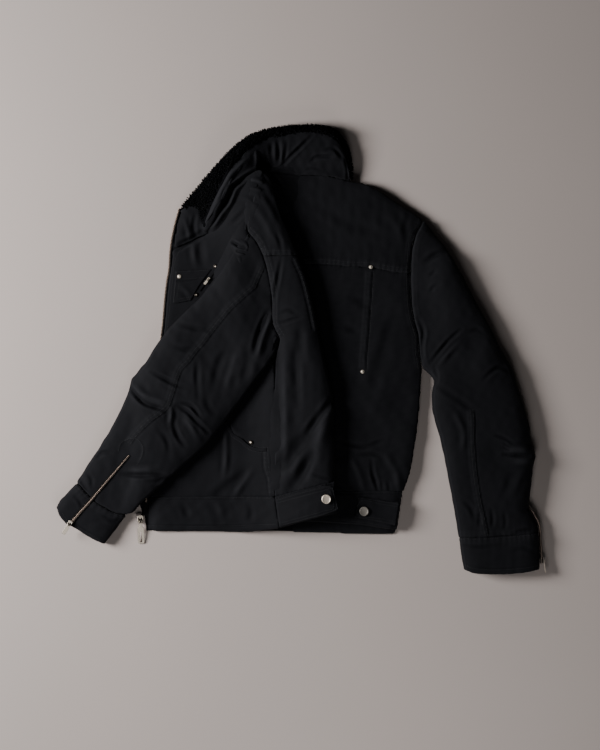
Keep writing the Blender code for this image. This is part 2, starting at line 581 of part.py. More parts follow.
# ------------------------------------------------------------------ collar
def make_collar():
    flat = [(*neck, *edge, *outer, *heights) for neck, edge, outer, heights in COLLAR]
    rows = smooth(flat, 2)
    neck, edge, outer = rows[:, :2], rows[:, 2:4], rows[:, 4:6]
    z_neck, z_crest, z_edge = rows[:, 6:7], rows[:, 7:8], rows[:, 8:9]
    u = np.array([0, 0.2, 0.38, 0.55, 0.7, 0.85, 1.0])
    grid = neck[:, None] * (1 - u[None, :, None]) + edge[:, None] * u[None, :, None]
    rise = step(u, 0.12, 0.68)[None]
    top = z_neck + (z_crest - z_neck) * rise + (z_edge - z_crest) * step(u, 0.7, 1.0)[None]
    cloth("collar", grid, top, np.maximum(top - COLLAR_WALL, 0.3), free=("start", "end"), radius=5)
    # the pile runs on below the canvas and shows past its edge
    w = np.array([0, 0.12, 0.35, 0.6, 0.8, 0.92, 1.0])
    strip = edge[:, None] * (1 - w[None, :, None]) + outer[:, None] * w[None, :, None]
    height = np.repeat(z_edge, len(w), axis=1)
    cloth("collar_pile", strip, height, 0.0, free=("right", "start", "end"), radius=14, rim=0.35, look=PILE)


# ------------------------------------------------------------------ waistband
def make_waistband():
    columns = np.array([0, 0.06, 0.25, 0.5, 0.75, 0.94, 1.0])
    for name, stations, lift, thick, rows in (
        ("waistband_front_left", BAND_FRONT_LEFT, 1.0, 9.0, 3),
        ("waistband_back_left", BAND_BACK_LEFT, 1.0, 9.0, 2),
        ("tab_left", TAB_LEFT, 4.5, TAB_WALL, 3),
    ):
        grid = sheet_grid(stations, columns, rows)
        x, y = grid[..., 0], grid[..., 1]
        top = body_top(x, y) + lift
        sides = ("right", "end") if name != "waistband_front_left" else ("right", "start")
        cloth(name, grid, top, top - thick, free=sides, radius=4)
    grid = sheet_grid(BAND_BACK_RIGHT, columns, 2)
    cloth("waistband_back_right", grid, np.full(grid.shape[:2], HALF_TUBE + 1), PADDED + LAYER,
          free=("right", "end"), radius=4)
    grid = sheet_grid(TAB_RIGHT, columns, 2)
    cloth("tab_right", grid, np.full(grid.shape[:2], HALF_TUBE + 4.5), HALF_TUBE + 4.5 - TAB_WALL,
          free=("right", "start", "left"), radius=2.5)
    grid = sheet_grid(BAND_FRONT_RIGHT, columns, 2)
    cloth("waistband_front_right", grid, np.full(grid.shape[:2], PADDED), 0.0, free=("right", "end"),
          radius=4)


# ------------------------------------------------------------------ hardware
def surfaces(*names):
    """Rays find the top of these pieces of cloth."""
    depsgraph = bpy.context.evaluated_depsgraph_get()
    return [BVHTree.FromObject(bpy.data.objects[name], depsgraph) for name in names]


def top_at(trees, x, y, default=0.0):
    found = [tree.ray_cast(Vector((x, y, 200)) * MM, Vector((0, 0, -1))) for tree in trees]
    return max([hit[0].z / MM for hit in found if hit[0]], default=default)


def seat(pieces, x, y, radius):
    """Where a round foot of this radius rests, and which way it faces."""
    trees = surfaces(*pieces)
    reach = 0.9 * radius
    slope_x = (top_at(trees, x + reach, y) - top_at(trees, x - reach, y)) / (2 * reach)
    slope_y = (top_at(trees, x, y + reach) - top_at(trees, x, y - reach)) / (2 * reach)
    normal = Vector((-slope_x, -slope_y, 1)).normalized()
    lift = 0.0
    for turn in np.linspace(0, 2 * math.pi, 13):
        for share in (0.0, 0.5, 1.0):
            dx, dy = share * radius * math.cos(turn), share * radius * math.sin(turn)
            lift = max(lift, top_at(trees, x + dx, y + dy) - slope_x * dx - slope_y * dy)
    return Vector((x, y, lift)) + normal * FOOT_GAP, normal


def turned(name, profile, steps, pieces, x, y):
    """A round fitting: a profile turned by Screw, seated on the cloth."""
    mesh = bpy.data.meshes.new(name)
    points = [(radius * MM, 0, height * MM) for radius, height in profile]
    mesh.from_pydata(points, [(i, i + 1) for i in range(len(points) - 1)], [])
    obj = bpy.data.objects.new(name, mesh)
    JACKET.objects.link(obj)
    screw = obj.modifiers.new("turn", "SCREW")
    screw.steps = screw.render_steps = steps
    screw.use_merge_vertices = True
    screw.merge_threshold = 0.00001
    mesh.materials.append(material(name, **NICKEL))
    point, normal = seat(pieces, x, y, max(radius for radius, _ in profile))
    obj.location = point * MM
    obj.rotation_mode = "QUATERNION"
    obj.rotation_quaternion = normal.to_track_quat("Z", "Y")
    return obj


def ribbon(line, first_width, last_width, per_station=2):
    """Stations either side of a middle line."""
    line = smooth(line, per_station)
    run = unit(np.gradient(line, axis=0))
    half = np.linspace(first_width, last_width, len(line))[:, None] / 2
    across = np.stack([-run[:, 1], run[:, 0]], -1) * half
    return np.stack([line + across, line - across], axis=1)


def strip_on(name, line, widths, pieces, thick, look):
    """A narrow strip that lies on the cloth below it, from points on that cloth moved out."""
    grid = ribbon(line, *widths, 3)
    trees = surfaces(*pieces)
    low = np.zeros(grid.shape[:2])
    middle = grid.mean(1)
    for i, side in np.ndindex(*low.shape):
        near = [top_at(trees, *(grid[i, side] * (1 - t) + middle[i] * t)) for t in (-0.1, 0.0, 0.5, 1.0)]
        near += [top_at(trees, *(grid[j, side] + (grid[i, side] - grid[j, side]) * 0.5))
                 for j in (max(i - 1, 0), min(i + 1, len(grid) - 1))]
        low[i, side] = max(near)
    low = np.maximum(low, np.repeat(low.max(1, keepdims=True), 2, axis=1)) + FOOT_GAP
    cloth(name, grid, low + thick, low, free=(), look=look)


def make_fittings():
    grid = sheet_grid(POCKET_CHEST, np.linspace(0, 1, 5), 3)
    trees = surfaces("front_left")
    low = np.array([[top_at(trees, *p) for p in row] for row in grid]) + FOOT_GAP + 0.2
    cloth("pocket_chest", grid, low + POCKET_WALL, low, free=())
    strip_on("hand_pocket", HAND_POCKET, (5.0, 5.0), ("front_left",), POCKET_WALL, CANVAS)
    grid = ribbon(FRONT_ZIP, FRONT_ZIP_W, FRONT_ZIP_W)
    cloth("front_zip", grid, np.full(grid.shape[:2], FRONT_ZIP_Z[1]), FRONT_ZIP_Z[0], look=NICKEL)
    grid = ribbon(CUFF_ZIP_RIGHT, CUFF_ZIP_RIGHT_W, CUFF_ZIP_RIGHT_W)
    cloth("cuff_zip_right", grid, np.full(grid.shape[:2], CUFF_ZIP_RIGHT_Z[1]), CUFF_ZIP_RIGHT_Z[0],
          look=NICKEL)
    strip_on("cuff_zip_left", CUFF_ZIP_LEFT, CUFF_ZIP_LEFT_W, ("sleeve_left", "cuff_left"), 1.6, NICKEL)
    strip_on("chest_zip", CHEST_ZIP, (CHEST_ZIP_W, CHEST_ZIP_W), ("front_left", "pocket_chest"), 1.2,
             NICKEL)
    for name, pieces, x, y in RIVETS:
        turned(name, RIVET_PROFILE, RIVET_STEPS, pieces, x, y)
    for name, pieces, x, y in BUTTONS:
        turned(name, BUTTON_PROFILE, BUTTON_STEPS, pieces, x, y)


# ------------------------------------------------------------------ zip sliders and pulls
def box(name, low, high, scale, collection):
    mesh = bpy.data.meshes.new(name)
    built = bmesh.new()
    bmesh.ops.create_cube(built, size=1.0)
    low, high = Vector(low) * scale * MM, Vector(high) * scale * MM
    for vert in built.verts:
        vert.co = Vector(low[k] if vert.co[k] < 0 else high[k] for k in range(3))
    built.to_mesh(mesh)
    built.free()
    obj = bpy.data.objects.new(name, mesh)
    collection.objects.link(obj)
    return obj


def make_slider(name, frame, scale):
    """The slider's body with the bridge that holds the pull, joined in one."""
    body = box(name, *SLIDER_BODY, scale, JACKET)
    body.matrix_world = frame
    body.data.materials.append(material(name, **NICKEL))
    for count, (low, high) in enumerate(SLIDER_POSTS):
        post = box(f"{name}_post_{count}", low, high, scale, GUIDES)
        post.matrix_world = frame
        post.hide_render = True
        post.display_type = "WIRE"
        join = body.modifiers.new(f"join_{count}", "BOOLEAN")
        join.operation = "UNION"
        join.solver = "EXACT"
        join.object = post
    return body


def add_outline(curve, points):
    spline = curve.splines.new("POLY")
    spline.points.add(len(points) - 1)
    for point, (x, y) in zip(spline.points, points):
        point.co = (x * MM, y * MM, 0, 1)
    spline.use_cyclic_u = True


def rectangle(half, near, far, corner=0.0):
    """A rectangle across the y axis, with its corners cut."""
    c = corner
    return [(-half + c, -near), (half - c, -near), (half, -near - c), (half, -far + c),
            (half - c, -far), (-half + c, -far), (-half, -far + c), (-half, -near - c)]


def make_pull(name, frame, scale, length):
    """A flat pull: a bar in the slider's bridge, an eye, and a plate with a slot on the long one."""
    curve = bpy.data.curves.new(name, "CURVE")
    curve.dimensions = "2D"
    curve.fill_mode = "BOTH"
    curve.extrude = PULL_THICK / 2 * scale * MM
    wide, neck = PULL_HALF_WIDTH * scale, PULL_NECK * scale
    start, end = 0.75 * scale, -length
    eye_half, eye_start, eye_end = (value * scale for value in PULL_EYE)
    right = [(neck, start), (neck, -4.5 * scale), (wide, -9 * scale), (wide, end + 1.5), (wide - 1.5, end)]
    add_outline(curve, right + [(-x, y) for x, y in reversed(right)])
    add_outline(curve, rectangle(eye_half, eye_start, eye_end, 0.5 * scale))
    if length > 30:
        add_outline(curve, rectangle(0.42 * wide, 15, length - 4, 1.0))
    obj = bpy.data.objects.new(name, curve)
    JACKET.objects.link(obj)
    curve.materials.append(material(name, **NICKEL))
    obj.matrix_world = frame
    return obj


def frame_at(point, towards, outside):
    """A frame whose -y runs along the pull and whose +z faces out."""
    y = -towards.normalized()
    x = y.cross(outside).normalized()
    z = x.cross(y)
    turn = Matrix((x, y, z)).transposed().to_4x4()
    return Matrix.Translation(point * MM) @ turn


def make_zip_pulls():
    for name, x, y, heading, droop, scale, length, below in ZIP_PULLS:
        flat = Vector((math.cos(math.radians(heading)), math.sin(math.radians(heading)), 0))
        outside = Vector((0, 0, 1)) if below else Vector((-flat.y, flat.x, 0))
        height = SIDE_SLIDER_Z
        if below:
            trees = surfaces(*below)
            spots = [Vector((x, y, 0)) - flat * reach * scale for reach in (-4, 0, 4, 8)]
            height = max(top_at(trees, spot.x, spot.y) for spot in spots) + FOOT_GAP
            height -= SLIDER_BODY[0][2] * scale
        hinge = Vector((x, y, height))
        make_slider(f"slider_{name}", frame_at(hinge, flat, outside), scale)
        drop = math.radians(droop)
        towards = flat * math.cos(drop) - outside * math.sin(drop)
        make_pull(f"pull_{name}", frame_at(hinge, towards, outside), scale, length)


clear_scene()
JACKET = make_collection("trucker_jacket")
GUIDES = make_collection("guides")
make_body()
make_sleeves()
make_collar()
make_waistband()
make_fittings()
make_zip_pulls()
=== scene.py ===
"""A black padded trucker jacket laid on the floor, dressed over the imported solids.

One front is thrown open to the left and the left part of the back is folded over in a soft roll.
Sizes in the tables are millimetres on the jacket, seen from above: +X right, +Y from hem to collar.
"""

import math

import bmesh
import bpy
import numpy as np
from mathutils import Matrix, Vector
from mathutils.bvhtree import BVHTree


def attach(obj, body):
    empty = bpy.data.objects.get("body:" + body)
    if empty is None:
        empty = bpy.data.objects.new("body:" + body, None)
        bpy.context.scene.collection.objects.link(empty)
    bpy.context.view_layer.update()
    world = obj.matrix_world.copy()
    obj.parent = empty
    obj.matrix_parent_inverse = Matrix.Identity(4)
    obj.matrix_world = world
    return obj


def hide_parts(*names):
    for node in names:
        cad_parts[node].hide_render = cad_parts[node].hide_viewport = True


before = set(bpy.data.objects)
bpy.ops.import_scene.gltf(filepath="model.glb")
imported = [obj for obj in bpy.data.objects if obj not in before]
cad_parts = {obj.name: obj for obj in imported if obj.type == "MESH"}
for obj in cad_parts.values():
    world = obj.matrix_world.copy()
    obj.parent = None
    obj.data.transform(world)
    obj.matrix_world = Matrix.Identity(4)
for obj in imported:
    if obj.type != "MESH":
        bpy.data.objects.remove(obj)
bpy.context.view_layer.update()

# ---------------------------------------------------------------- camera, floor and light
# The photograph looks straight down. One 17 mm button is 9.2 pixels across, so a pixel is taken as 1.8 mm
# and the 750 pixels of its height take in 1.35 m of a pale painted floor.
MM = 0.001
FRAME_ROWS = 750
PIXEL = 1.8
VIEW_HEIGHT = FRAME_ROWS * PIXEL * MM
SENSOR = 24.0
LENS = 85.0

lens = bpy.data.cameras.new("camera")
lens.sensor_width = SENSOR
lens.lens = LENS
camera = bpy.data.objects.new("camera", lens)
camera.location = (0, 0, VIEW_HEIGHT * LENS / SENSOR)
bpy.context.scene.collection.objects.link(camera)
bpy.context.scene.camera = camera


def linear(hex_colour):
    """sRGB hex to the linear values that a shader takes."""
    parts = [int(hex_colour[k:k + 2], 16) / 255 for k in (1, 3, 5)]
    return tuple(c / 12.92 if c <= 0.04045 else ((c + 0.055) / 1.055) ** 2.4 for c in parts) + (1.0,)


def add(tree, kind, links=(), sockets=(), **settings):
    """One node: settings are its own properties, sockets its values, links its (socket, source) pairs."""
    made = tree.nodes.new(kind)
    for name, value in settings.items():
        setattr(made, name, value)
    for socket, value in sockets:
        made.inputs[socket].default_value = value
    for socket, source in links:
        tree.links.new(source, made.inputs[socket])
    return made


def new_material(name, **sockets):
    """An empty material, its tree and its shader, with these values on the shader's own sockets."""
    made = bpy.data.materials.new(name)
    made.use_nodes = True
    shader = made.node_tree.nodes["Principled BSDF"]
    for socket, value in sockets.items():
        shader.inputs[socket.replace("_", " ")].default_value = value
    return made, made.node_tree, shader


# Matt floor paint on a smooth screed: nearly no gloss, with faint clouds from the roller.
FLOOR_HALF = 4.0
CLOUDS_PER_METRE = 2.2
floor_paint, tree, shader = new_material("floor_paint", Roughness=0.9, Specular_IOR_Level=0.15)
place = add(tree, "ShaderNodeTexCoord")
clouds = add(tree, "ShaderNodeTexNoise", [("Vector", place.outputs["Object"])],
             [("Scale", CLOUDS_PER_METRE), ("Detail", 3.0)])
paint = add(tree, "ShaderNodeMix", [("Factor", clouds.outputs["Fac"])], data_type="RGBA")
paint.inputs["A"].default_value = linear("#bdb1ab")
paint.inputs["B"].default_value = linear("#c3b7b1")
tree.links.new(paint.outputs["Result"], shader.inputs["Base Color"])

floor_mesh = bpy.data.meshes.new("floor")
corners = ((-1, -1), (1, -1), (1, 1), (-1, 1))
floor_mesh.from_pydata([(x * FLOOR_HALF, y * FLOOR_HALF, 0) for x, y in corners], [], [(0, 1, 2, 3)])
floor_mesh.materials.append(floor_paint)
floor = bpy.data.objects.new("floor", floor_mesh)
bpy.context.scene.collection.objects.link(floor)

# A soft box low on the left, a weaker one below the hem, and dim grey air.
LIGHTS = (  # name, place, where it aims, size, watts
    ("key", (-2.03, 0.26, 1.12), (0.10, 0.03, 0), 0.9, 91.0),
    ("fill", (0.14, -1.20, 0.95), (0, 0, 0), 0.7, 4.6),
)
for name, place_m, aim, size, watts in LIGHTS:
    box_light = bpy.data.lights.new(name, "AREA")
    box_light.size = size
    box_light.energy = watts
    lamp = bpy.data.objects.new(name, box_light)
    lamp.location = place_m
    lamp.rotation_mode = "QUATERNION"
    lamp.rotation_quaternion = (Vector(aim) - Vector(place_m)).to_track_quat("-Z", "Y")
    bpy.context.scene.collection.objects.link(lamp)
AIR_STRENGTH = 0.04
world = bpy.data.worlds.new("air")
world.use_nodes = True
world.node_tree.nodes["Background"].inputs["Color"].default_value = linear("#9c9c9f")
world.node_tree.nodes["Background"].inputs["Strength"].default_value = AIR_STRENGTH
bpy.context.scene.world = world

# ---------------------------------------------------------------- right half of the back, with its yoke
# The back of a trucker jacket: a yoke across the shoulders over a body panel with one sewn pleat. Heavy
# black canvas in a 2/2 twill, brushed on its face, over wadding and lining; the yoke laps the panel by
# 8 mm and is sewn down with two rows of stitches.
TWILL = 1.3  # real ribs are 0.7 mm apart, drawn coarser so that they can show at all
FIBRE = 0.9  # real fibres are 0.02 mm thick, and this is a clump of them
SLUB = 14.0
CANVAS_BLACK = "#151518"
# the greyer tone laid on ridges and sloped edges: partly rubbed wear, partly painted highlight
CANVAS_WEAR_AND_HIGHLIGHT = "#242427"


def canvas(name, grain):
    """Cotton twill, piece-dyed black and matt, with streaks along its yarn, and a greyer tone that is strong
    on ridges and sloped edges and weak in troughs: partly rubbed wear, partly painted highlight and painted
    shade.

    grain is the angle of the piece's warp from the jacket's length, and the ribs run at 45 degrees to it.
    """
    made, tree, shader = new_material(name, Roughness=0.7, Specular_IOR_Level=0.05, Sheen_Weight=0.02,
                                      Sheen_Roughness=0.5)
    place = add(tree, "ShaderNodeTexCoord")
    ribbed = add(tree, "ShaderNodeMapping", [("Vector", place.outputs["Object"])],
                 [("Rotation", (0, 0, math.radians(-grain - 45)))])
    ribs = add(tree, "ShaderNodeTexWave", [("Vector", ribbed.outputs["Vector"])],
               [("Scale", math.tau / 20 / (TWILL * MM)), ("Distortion", 1.2), ("Detail", 1.0),
                ("Detail Scale", 3.0)])
    fibre = add(tree, "ShaderNodeTexNoise", [("Vector", place.outputs["Object"])],
                [("Scale", 1 / (FIBRE * MM)), ("Detail", 2.0)])
    yarn = add(tree, "ShaderNodeMapping", [("Vector", place.outputs["Object"])],
               [("Rotation", (0, 0, math.radians(-grain))), ("Scale", (5.0, 1.0, 1.0))])
    slub = add(tree, "ShaderNodeTexNoise", [("Vector", yarn.outputs["Vector"])],
               [("Scale", 1 / (SLUB * MM) / 3), ("Detail", 5.0), ("Roughness", 0.65)])
    dyed = add(tree, "ShaderNodeMix", [("Factor", slub.outputs["Fac"])], data_type="RGBA")
    dyed.inputs["A"].default_value = linear(CANVAS_BLACK)
    dyed.inputs["B"].default_value = tuple(0.6 * c for c in linear(CANVAS_BLACK)[:3]) + (1.0,)
    wear_and_painted_light = add(tree, "ShaderNodeAttribute", attribute_name="wear_and_painted_light")
    patchy = add(tree, "ShaderNodeMath", [(0, wear_and_painted_light.outputs["Fac"]), (1, fibre.outputs["Fac"])],
                 operation="MULTIPLY")
    wear_and_highlight = add(tree, "ShaderNodeMix", [("Factor", patchy.outputs[0]), ("A", dyed.outputs["Result"])],
               data_type="RGBA")
    wear_and_highlight.inputs["B"].default_value = linear(CANVAS_WEAR_AND_HIGHLIGHT)
    tree.links.new(wear_and_highlight.outputs["Result"], shader.inputs["Base Color"])
    weave = add(tree, "ShaderNodeBump", [("Height", ribs.outputs["Fac"])],
                [("Strength", 0.35), ("Distance", 0.3 * MM)])
    nap = add(tree, "ShaderNodeBump", [("Height", fibre.outputs["Fac"]), ("Normal", weave.outputs["Normal"])],
              [("Strength", 0.35), ("Distance", 0.3 * MM)])
    tree.links.new(nap.outputs["Normal"], shader.inputs["Normal"])
    return made


def neighbours_mean(values, edges):
    """Mean of each vertex's neighbours, for one or more columns of values."""
    first, second = edges.T
    count = np.bincount(edges.ravel(), minlength=len(values))[:, None]
    total = [np.bincount(first, values[second, k], len(values))
             + np.bincount(second, values[first, k], len(values)) for k in range(values.shape[1])]
    return np.stack(total, -1) / np.maximum(count, 1)


def read_vectors(source, field, count):
    flat = np.empty(count * 3, np.float32)
    source.foreach_get(field, flat)
    return flat.reshape(-1, 3).astype(float)


def step(value, low, high):
    t = np.clip((value - low) / (high - low), 0, 1)
    return t * t * (3 - 2 * t)


RIM_OUT = 0.9
SAME_POINT = 0.02  # corners of the solids' loose triangles that are closer than this are one


def cloth_wall(node, voxel, rounds=40, rim_rounds=4):
    """A fine, even copy of a cloth solid, smoothed on its faces and kept in shape at its rim."""
    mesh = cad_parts[node].data.copy()
    work = bmesh.new()
    work.from_mesh(mesh)
    bmesh.ops.remove_doubles(work, verts=work.verts, dist=SAME_POINT * MM)
    work.to_mesh(mesh)
    work.free()
    obj = bpy.data.objects.new(node + "_cloth", mesh)
    bpy.context.scene.collection.objects.link(obj)
    even = obj.modifiers.new("even", "REMESH")
    even.mode = "VOXEL"
    even.voxel_size = voxel * MM
    fine = bpy.data.meshes.new_from_object(obj.evaluated_get(bpy.context.evaluated_depsgraph_get()))
    obj.modifiers.clear()
    obj.data = fine
    co = read_vectors(fine.vertices, "co", len(fine.vertices))
    edges = np.empty(len(fine.edges) * 2, np.int32)
    fine.edges.foreach_get("vertices", edges)
    edges = edges.reshape(-1, 2)
    normals = read_vectors(fine.vertex_normals, "vector", len(fine.vertices))
    rim = (np.abs(normals[:, 2:3]) < 0.7).astype(float)
    for _ in range(6):
        rim = 0.5 * rim + 0.5 * neighbours_mean(rim, edges)
    inner = np.clip(1 - 3 * rim, 0, 1)
    for turn in range(rounds):
        share = np.ones_like(inner) if turn < rim_rounds else inner
        co += 0.5 * share * (neighbours_mean(co, edges) - co)
    fine.vertices.foreach_set("co", co.ravel().astype(np.float32))
    fine.update()
    # the rounds draw the rim in, so it is put back out to meet the next piece at the seam
    normals = read_vectors(fine.vertex_normals, "vector", len(fine.vertices))
    normals[:, 2] *= 0.3
    co += RIM_OUT * MM * np.clip(1.5 * rim, 0, 1) * normals
    fine.vertices.foreach_set("co", co.ravel().astype(np.float32))
    fine.update()
    fine.shade_smooth()
    return obj


def curve_through(points, spacing=4.0):
    """A smooth line through a table's points, with a point about every spacing."""
    rows = np.array(points, float)
    ends = np.vstack([2 * rows[0] - rows[1], rows, 2 * rows[-1] - rows[-2]])
    out = []
    for a, b, c, d in zip(ends[:-3], ends[1:-2], ends[2:-1], ends[3:]):
        count = max(1, math.ceil(np.linalg.norm(c - b) / spacing))
        for t in np.arange(count) / count:
            out.append(0.5 * (2 * b + (c - a) * t + (2 * a - 5 * b + 4 * c - d) * t ** 2
                              + (3 * b - a - 3 * c + d) * t ** 3))
    return np.array(out + [rows[-1]])


def beside(x, y, line):
    """How far each point is from a line, positive on its left, how far along it, and its length."""
    start, run = line[:-1], np.diff(line, axis=0)
    length = np.linalg.norm(run, axis=1)
    away = np.stack([x, y], -1)[:, None] - start
    t = np.clip((away * run).sum(-1) / length ** 2, 0, 1)
    gap = away - t[..., None] * run
    far = np.linalg.norm(gap, axis=-1)
    k, rows = far.argmin(1), np.arange(len(x))
    left = np.sign(run[k, 0] * gap[rows, k, 1] - run[k, 1] * gap[rows, k, 0])
    before = np.concatenate([[0], np.cumsum(length)[:-1]])
    return left * far[rows, k], before[k] + t[rows, k] * length[k], length.sum()


def near_line(x, y, line, reach):
    low, high = line.min(0) - reach, line.max(0) + reach
    return np.flatnonzero((x > low[0]) & (x < high[0]) & (y > low[1]) & (y < high[1]))


def creases(x, y, rows):
    """Soft, uneven troughs (and ridges, where the height is positive), with a low bank on either side."""
    total = np.zeros_like(x)
    for half, height, *points in rows:
        line = curve_through(points)
        near = near_line(x, y, line, 4 * half)
        if not len(near):
            continue
        off, run, length = beside(x[near], y[near], line)
        across = np.abs(off) / half
        bank = 0.3 * np.exp(-((across - 1.9) / 0.9) ** 2)
        uneven = np.sin(math.pi * np.clip(run / length, 0.02, 0.98)) ** 0.6
        uneven = uneven * (1 + 0.2 * np.sin(run / 7 + half))
        total[near] += height * uneven * (np.exp(-across ** 2) - bank)
    return total


def slack(x, y, seed, pitch, height, waves=9):
    """The unevenness of padded cloth that has been worn: long soft waves that cross each other."""
    draw = np.random.default_rng(seed)
    total = np.zeros_like(x)
    for _ in range(waves):
        heading, phase = draw.uniform(0, math.tau, 2)
        turns = math.tau / (pitch * draw.uniform(0.7, 1.5))
        total += np.sin(turns * (x * math.cos(heading) + y * math.sin(heading)) + phase)
    return height * total / math.sqrt(waves)


LAP = 8.0
FIRST_ROW = 1.8  # from the edge of the lap to the first row of stitches


def seam_relief(x, y, seams):
    """Lapped seams: the upper layer's edge stands up, the needle rows sink in and the cloth puckers."""
    total = np.zeros_like(x)
    for side, depth, *points in seams:
        line = curve_through(points)
        near = near_line(x, y, line, 45)
        if not len(near):
            continue
        off, run, length = beside(x[near], y[near], line)
        over = off * side
        ends = step(run, -1, 4) * (1 - step(run, length - 4, length + 1))
        lap = 1.1 * step(over, -0.9, 0.9) * (1 - step(over, LAP + 1, LAP + 6))
        groove = -0.8 * np.exp(-((over + 0.8) / 1.4) ** 2)
        needle = -0.5 * sum(np.exp(-((over - row) / 1.2) ** 2) for row in (FIRST_ROW, LAP))
        pucker = 0.35 * np.sin(run / 1.5 + 2.2 * np.sin(run / 19)) * np.exp(-np.abs(over - LAP / 2) / 7)
        total[near] += depth * ends * (lap + groove + needle + pucker)
    return total


SEWN = []  # rows of top-stitching: the pieces that they run over and the line of each row


def sew_down(pieces, seams, rows=(FIRST_ROW, LAP)):
    """Puts the two rows of stitches of each lapped seam on the list."""
    for side, _, *points in seams:
        line = curve_through(points)
        run = np.gradient(line, axis=0)
        left = np.stack([-run[:, 1], run[:, 0]], -1) / np.linalg.norm(run, axis=1, keepdims=True)
        for row in rows:
            SEWN.append((pieces, line + side * row * left))


def crumple(obj, seed, creased=(), seams=(), long_waves=1.0, short_waves=0.3, keep_above=None):
    """Moves a piece's upper and side faces along their normals, and notes a canvas tone, lighter on ridges and
    sloped edges and darker in troughs: partly rubbed wear, partly painted highlight and painted shade.
    """
    mesh = obj.data
    co = read_vectors(mesh.vertices, "co", len(mesh.vertices)) / MM
    normals = read_vectors(mesh.vertex_normals, "vector", len(mesh.vertices))
    x, y = co[:, 0], co[:, 1]
    faces_up = step(normals[:, 2], 0.1, 0.55)
    on_side = step(normals[:, 2], -0.5, 0.1) * (1 - faces_up)
    folds = creases(x, y, creased) + seam_relief(x, y, seams)
    waves = slack(x, y, seed, 75, long_waves) + slack(x, y, seed + 50, 19, short_waves)
    side_waves = slack(x + co[:, 2], y, seed + 90, 26, 0.5 * long_waves)
    move = faces_up * (folds + waves) + on_side * side_waves
    co += normals * move[:, None]
    if keep_above is not None:
        co[:, 2] = np.maximum(co[:, 2], keep_above)
    mesh.vertices.foreach_set("co", (co * MM).ravel().astype(np.float32))
    wear_and_painted_light = mesh.attributes.new("wear_and_painted_light", "FLOAT", "POINT")
    # sloped faces get a painted highlight, and the fold heights lighten ridges and darken troughs, partly as
    # rubbed wear and partly as painted shade
    edge = np.exp(-((normals[:, 2] - 0.75) / 0.15) ** 2)
    wear_and_painted_light.data.foreach_set("value", np.clip(0.3 + 0.35 * folds + 0.5 * edge, 0, 1.5).astype(np.float32))
    mesh.update()


def finish_cloth(obj, look):
    """Dresses a finished cloth in its look and hangs it on the jacket."""
    obj.data.materials.clear()
    obj.data.materials.append(look)
    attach(obj, "jacket")


def cloth_piece(node, voxel, seed, look, creased=(), seams=(), long_waves=0.8, short_waves=0.2,
                keep_above=None, rounds=40, rim_rounds=4, inside=None):
    """A finished cloth in the place of its solid: smoothed, creased, given its inside, dressed and named."""
    made = cloth_wall(node, voxel, rounds, rim_rounds)
    crumple(made, seed, creased, seams, long_waves, short_waves, keep_above)
    if inside:
        inside(made)
    finish_cloth(made, look)
    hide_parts(node)


CANVAS_BODY = canvas("canvas_body", 0)
YOKE_SEAM = ((-62, 199), (0, 199), (52, 198), (94, 194), (124, 193), (171, 185), (203, 182))
ARMHOLE_RIGHT = ((220, 14), (215, 43), (214, 72), (204, 106), (200, 144), (200, 200), (205, 243), (218, 268),
                 (221, 279))
PLEAT_RIGHT = ((130, 186), (128, 150), (124, 90), (120, 40), (118, 8))
RIGHT_BACK = (  # node, voxel, seed, cut, creases, seams
    ("back_yoke_right", 2.2, 11, (310, 190, 0.045), (
        (3, -1.2, (81, 347), (92, 358), (94, 373)),
        (8, -0.9, (40, 300), (90, 268), (150, 250)),
        (7, 0.9, (150, 300), (176, 262), (186, 226)),
        (5, -0.8, (196, 292), (188, 262), (190, 232)),
    ), ((1, 1.0, *YOKE_SEAM), (1, 0.6, *ARMHOLE_RIGHT))),
    ("back_right", 2.2, 12, (290, 420, 0.099), (
        (9, -1.1, (169, 113), (151, 54), (130, -18), (119, -54)),
        (5, -1.0, (77, 86), (92, 81), (108, 76)),
        (3.5, -1.9, (72, -119), (94, -126), (119, -128), (151, -117)),
        (3.5, -1.6, (108, -144), (130, -142), (148, -146)),
        (3.2, -2.3, (128, -153), (131, -178), (139, -203), (140, -225)),
        (6, 1.7, (151, -139), (173, -178), (176, -214)),
        (5, 1.4, (90, -144), (108, -182), (115, -211)),
        (7, -1.2, (94, 135), (112, 130), (126, 117)),
        (4, -1.0, (60, -196), (74, -203), (82, -212)),
        (3, -1.2, (158, -190), (160, -202), (160, -214)),
        (3, -1.2, (146, -192), (147, -204), (148, -214)),
    ), ((1, 0.7, *YOKE_SEAM), (1, 0.6, *ARMHOLE_RIGHT), (-1, 1.0, *PLEAT_RIGHT))),
)
for node, voxel, seed, cut, creased, seams in RIGHT_BACK:
    cloth_piece(node, voxel, seed, CANVAS_BODY, creased, seams)
sew_down(["back_yoke_right_cloth"], ((1, 1, *YOKE_SEAM),))
sew_down(["back_yoke_right_cloth", "back_right_cloth"], ((1, 1, *ARMHOLE_RIGHT),))
sew_down(["back_right_cloth"], ((1, 1, *PLEAT_RIGHT),), rows=(2.4,))

# ---------------------------------------------------------------- right front and the turns under the roll
# The right front lies face down under the back, and the hidden turns of the back fill the roll. Both show
# only as edges, so they keep the same canvas and get no creases of their own.
UNDER_LAYERS = (  # node, voxel, seed, cut, held
    ("front_right", 5.0, 21, (285, 560, 0.135), "laid"),
    ("hidden_layers", 4.0, 22, (140, 550, 0.041), "folded"),
    ("waistband_front_right", 3.0, 23, (80, 200, 0.0153), "laid"),
)
for node, voxel, seed, cut, held in UNDER_LAYERS:
    cloth_piece(node, voxel, seed, CANVAS_BODY, long_waves=0.3, keep_above=0.0, rounds=12)

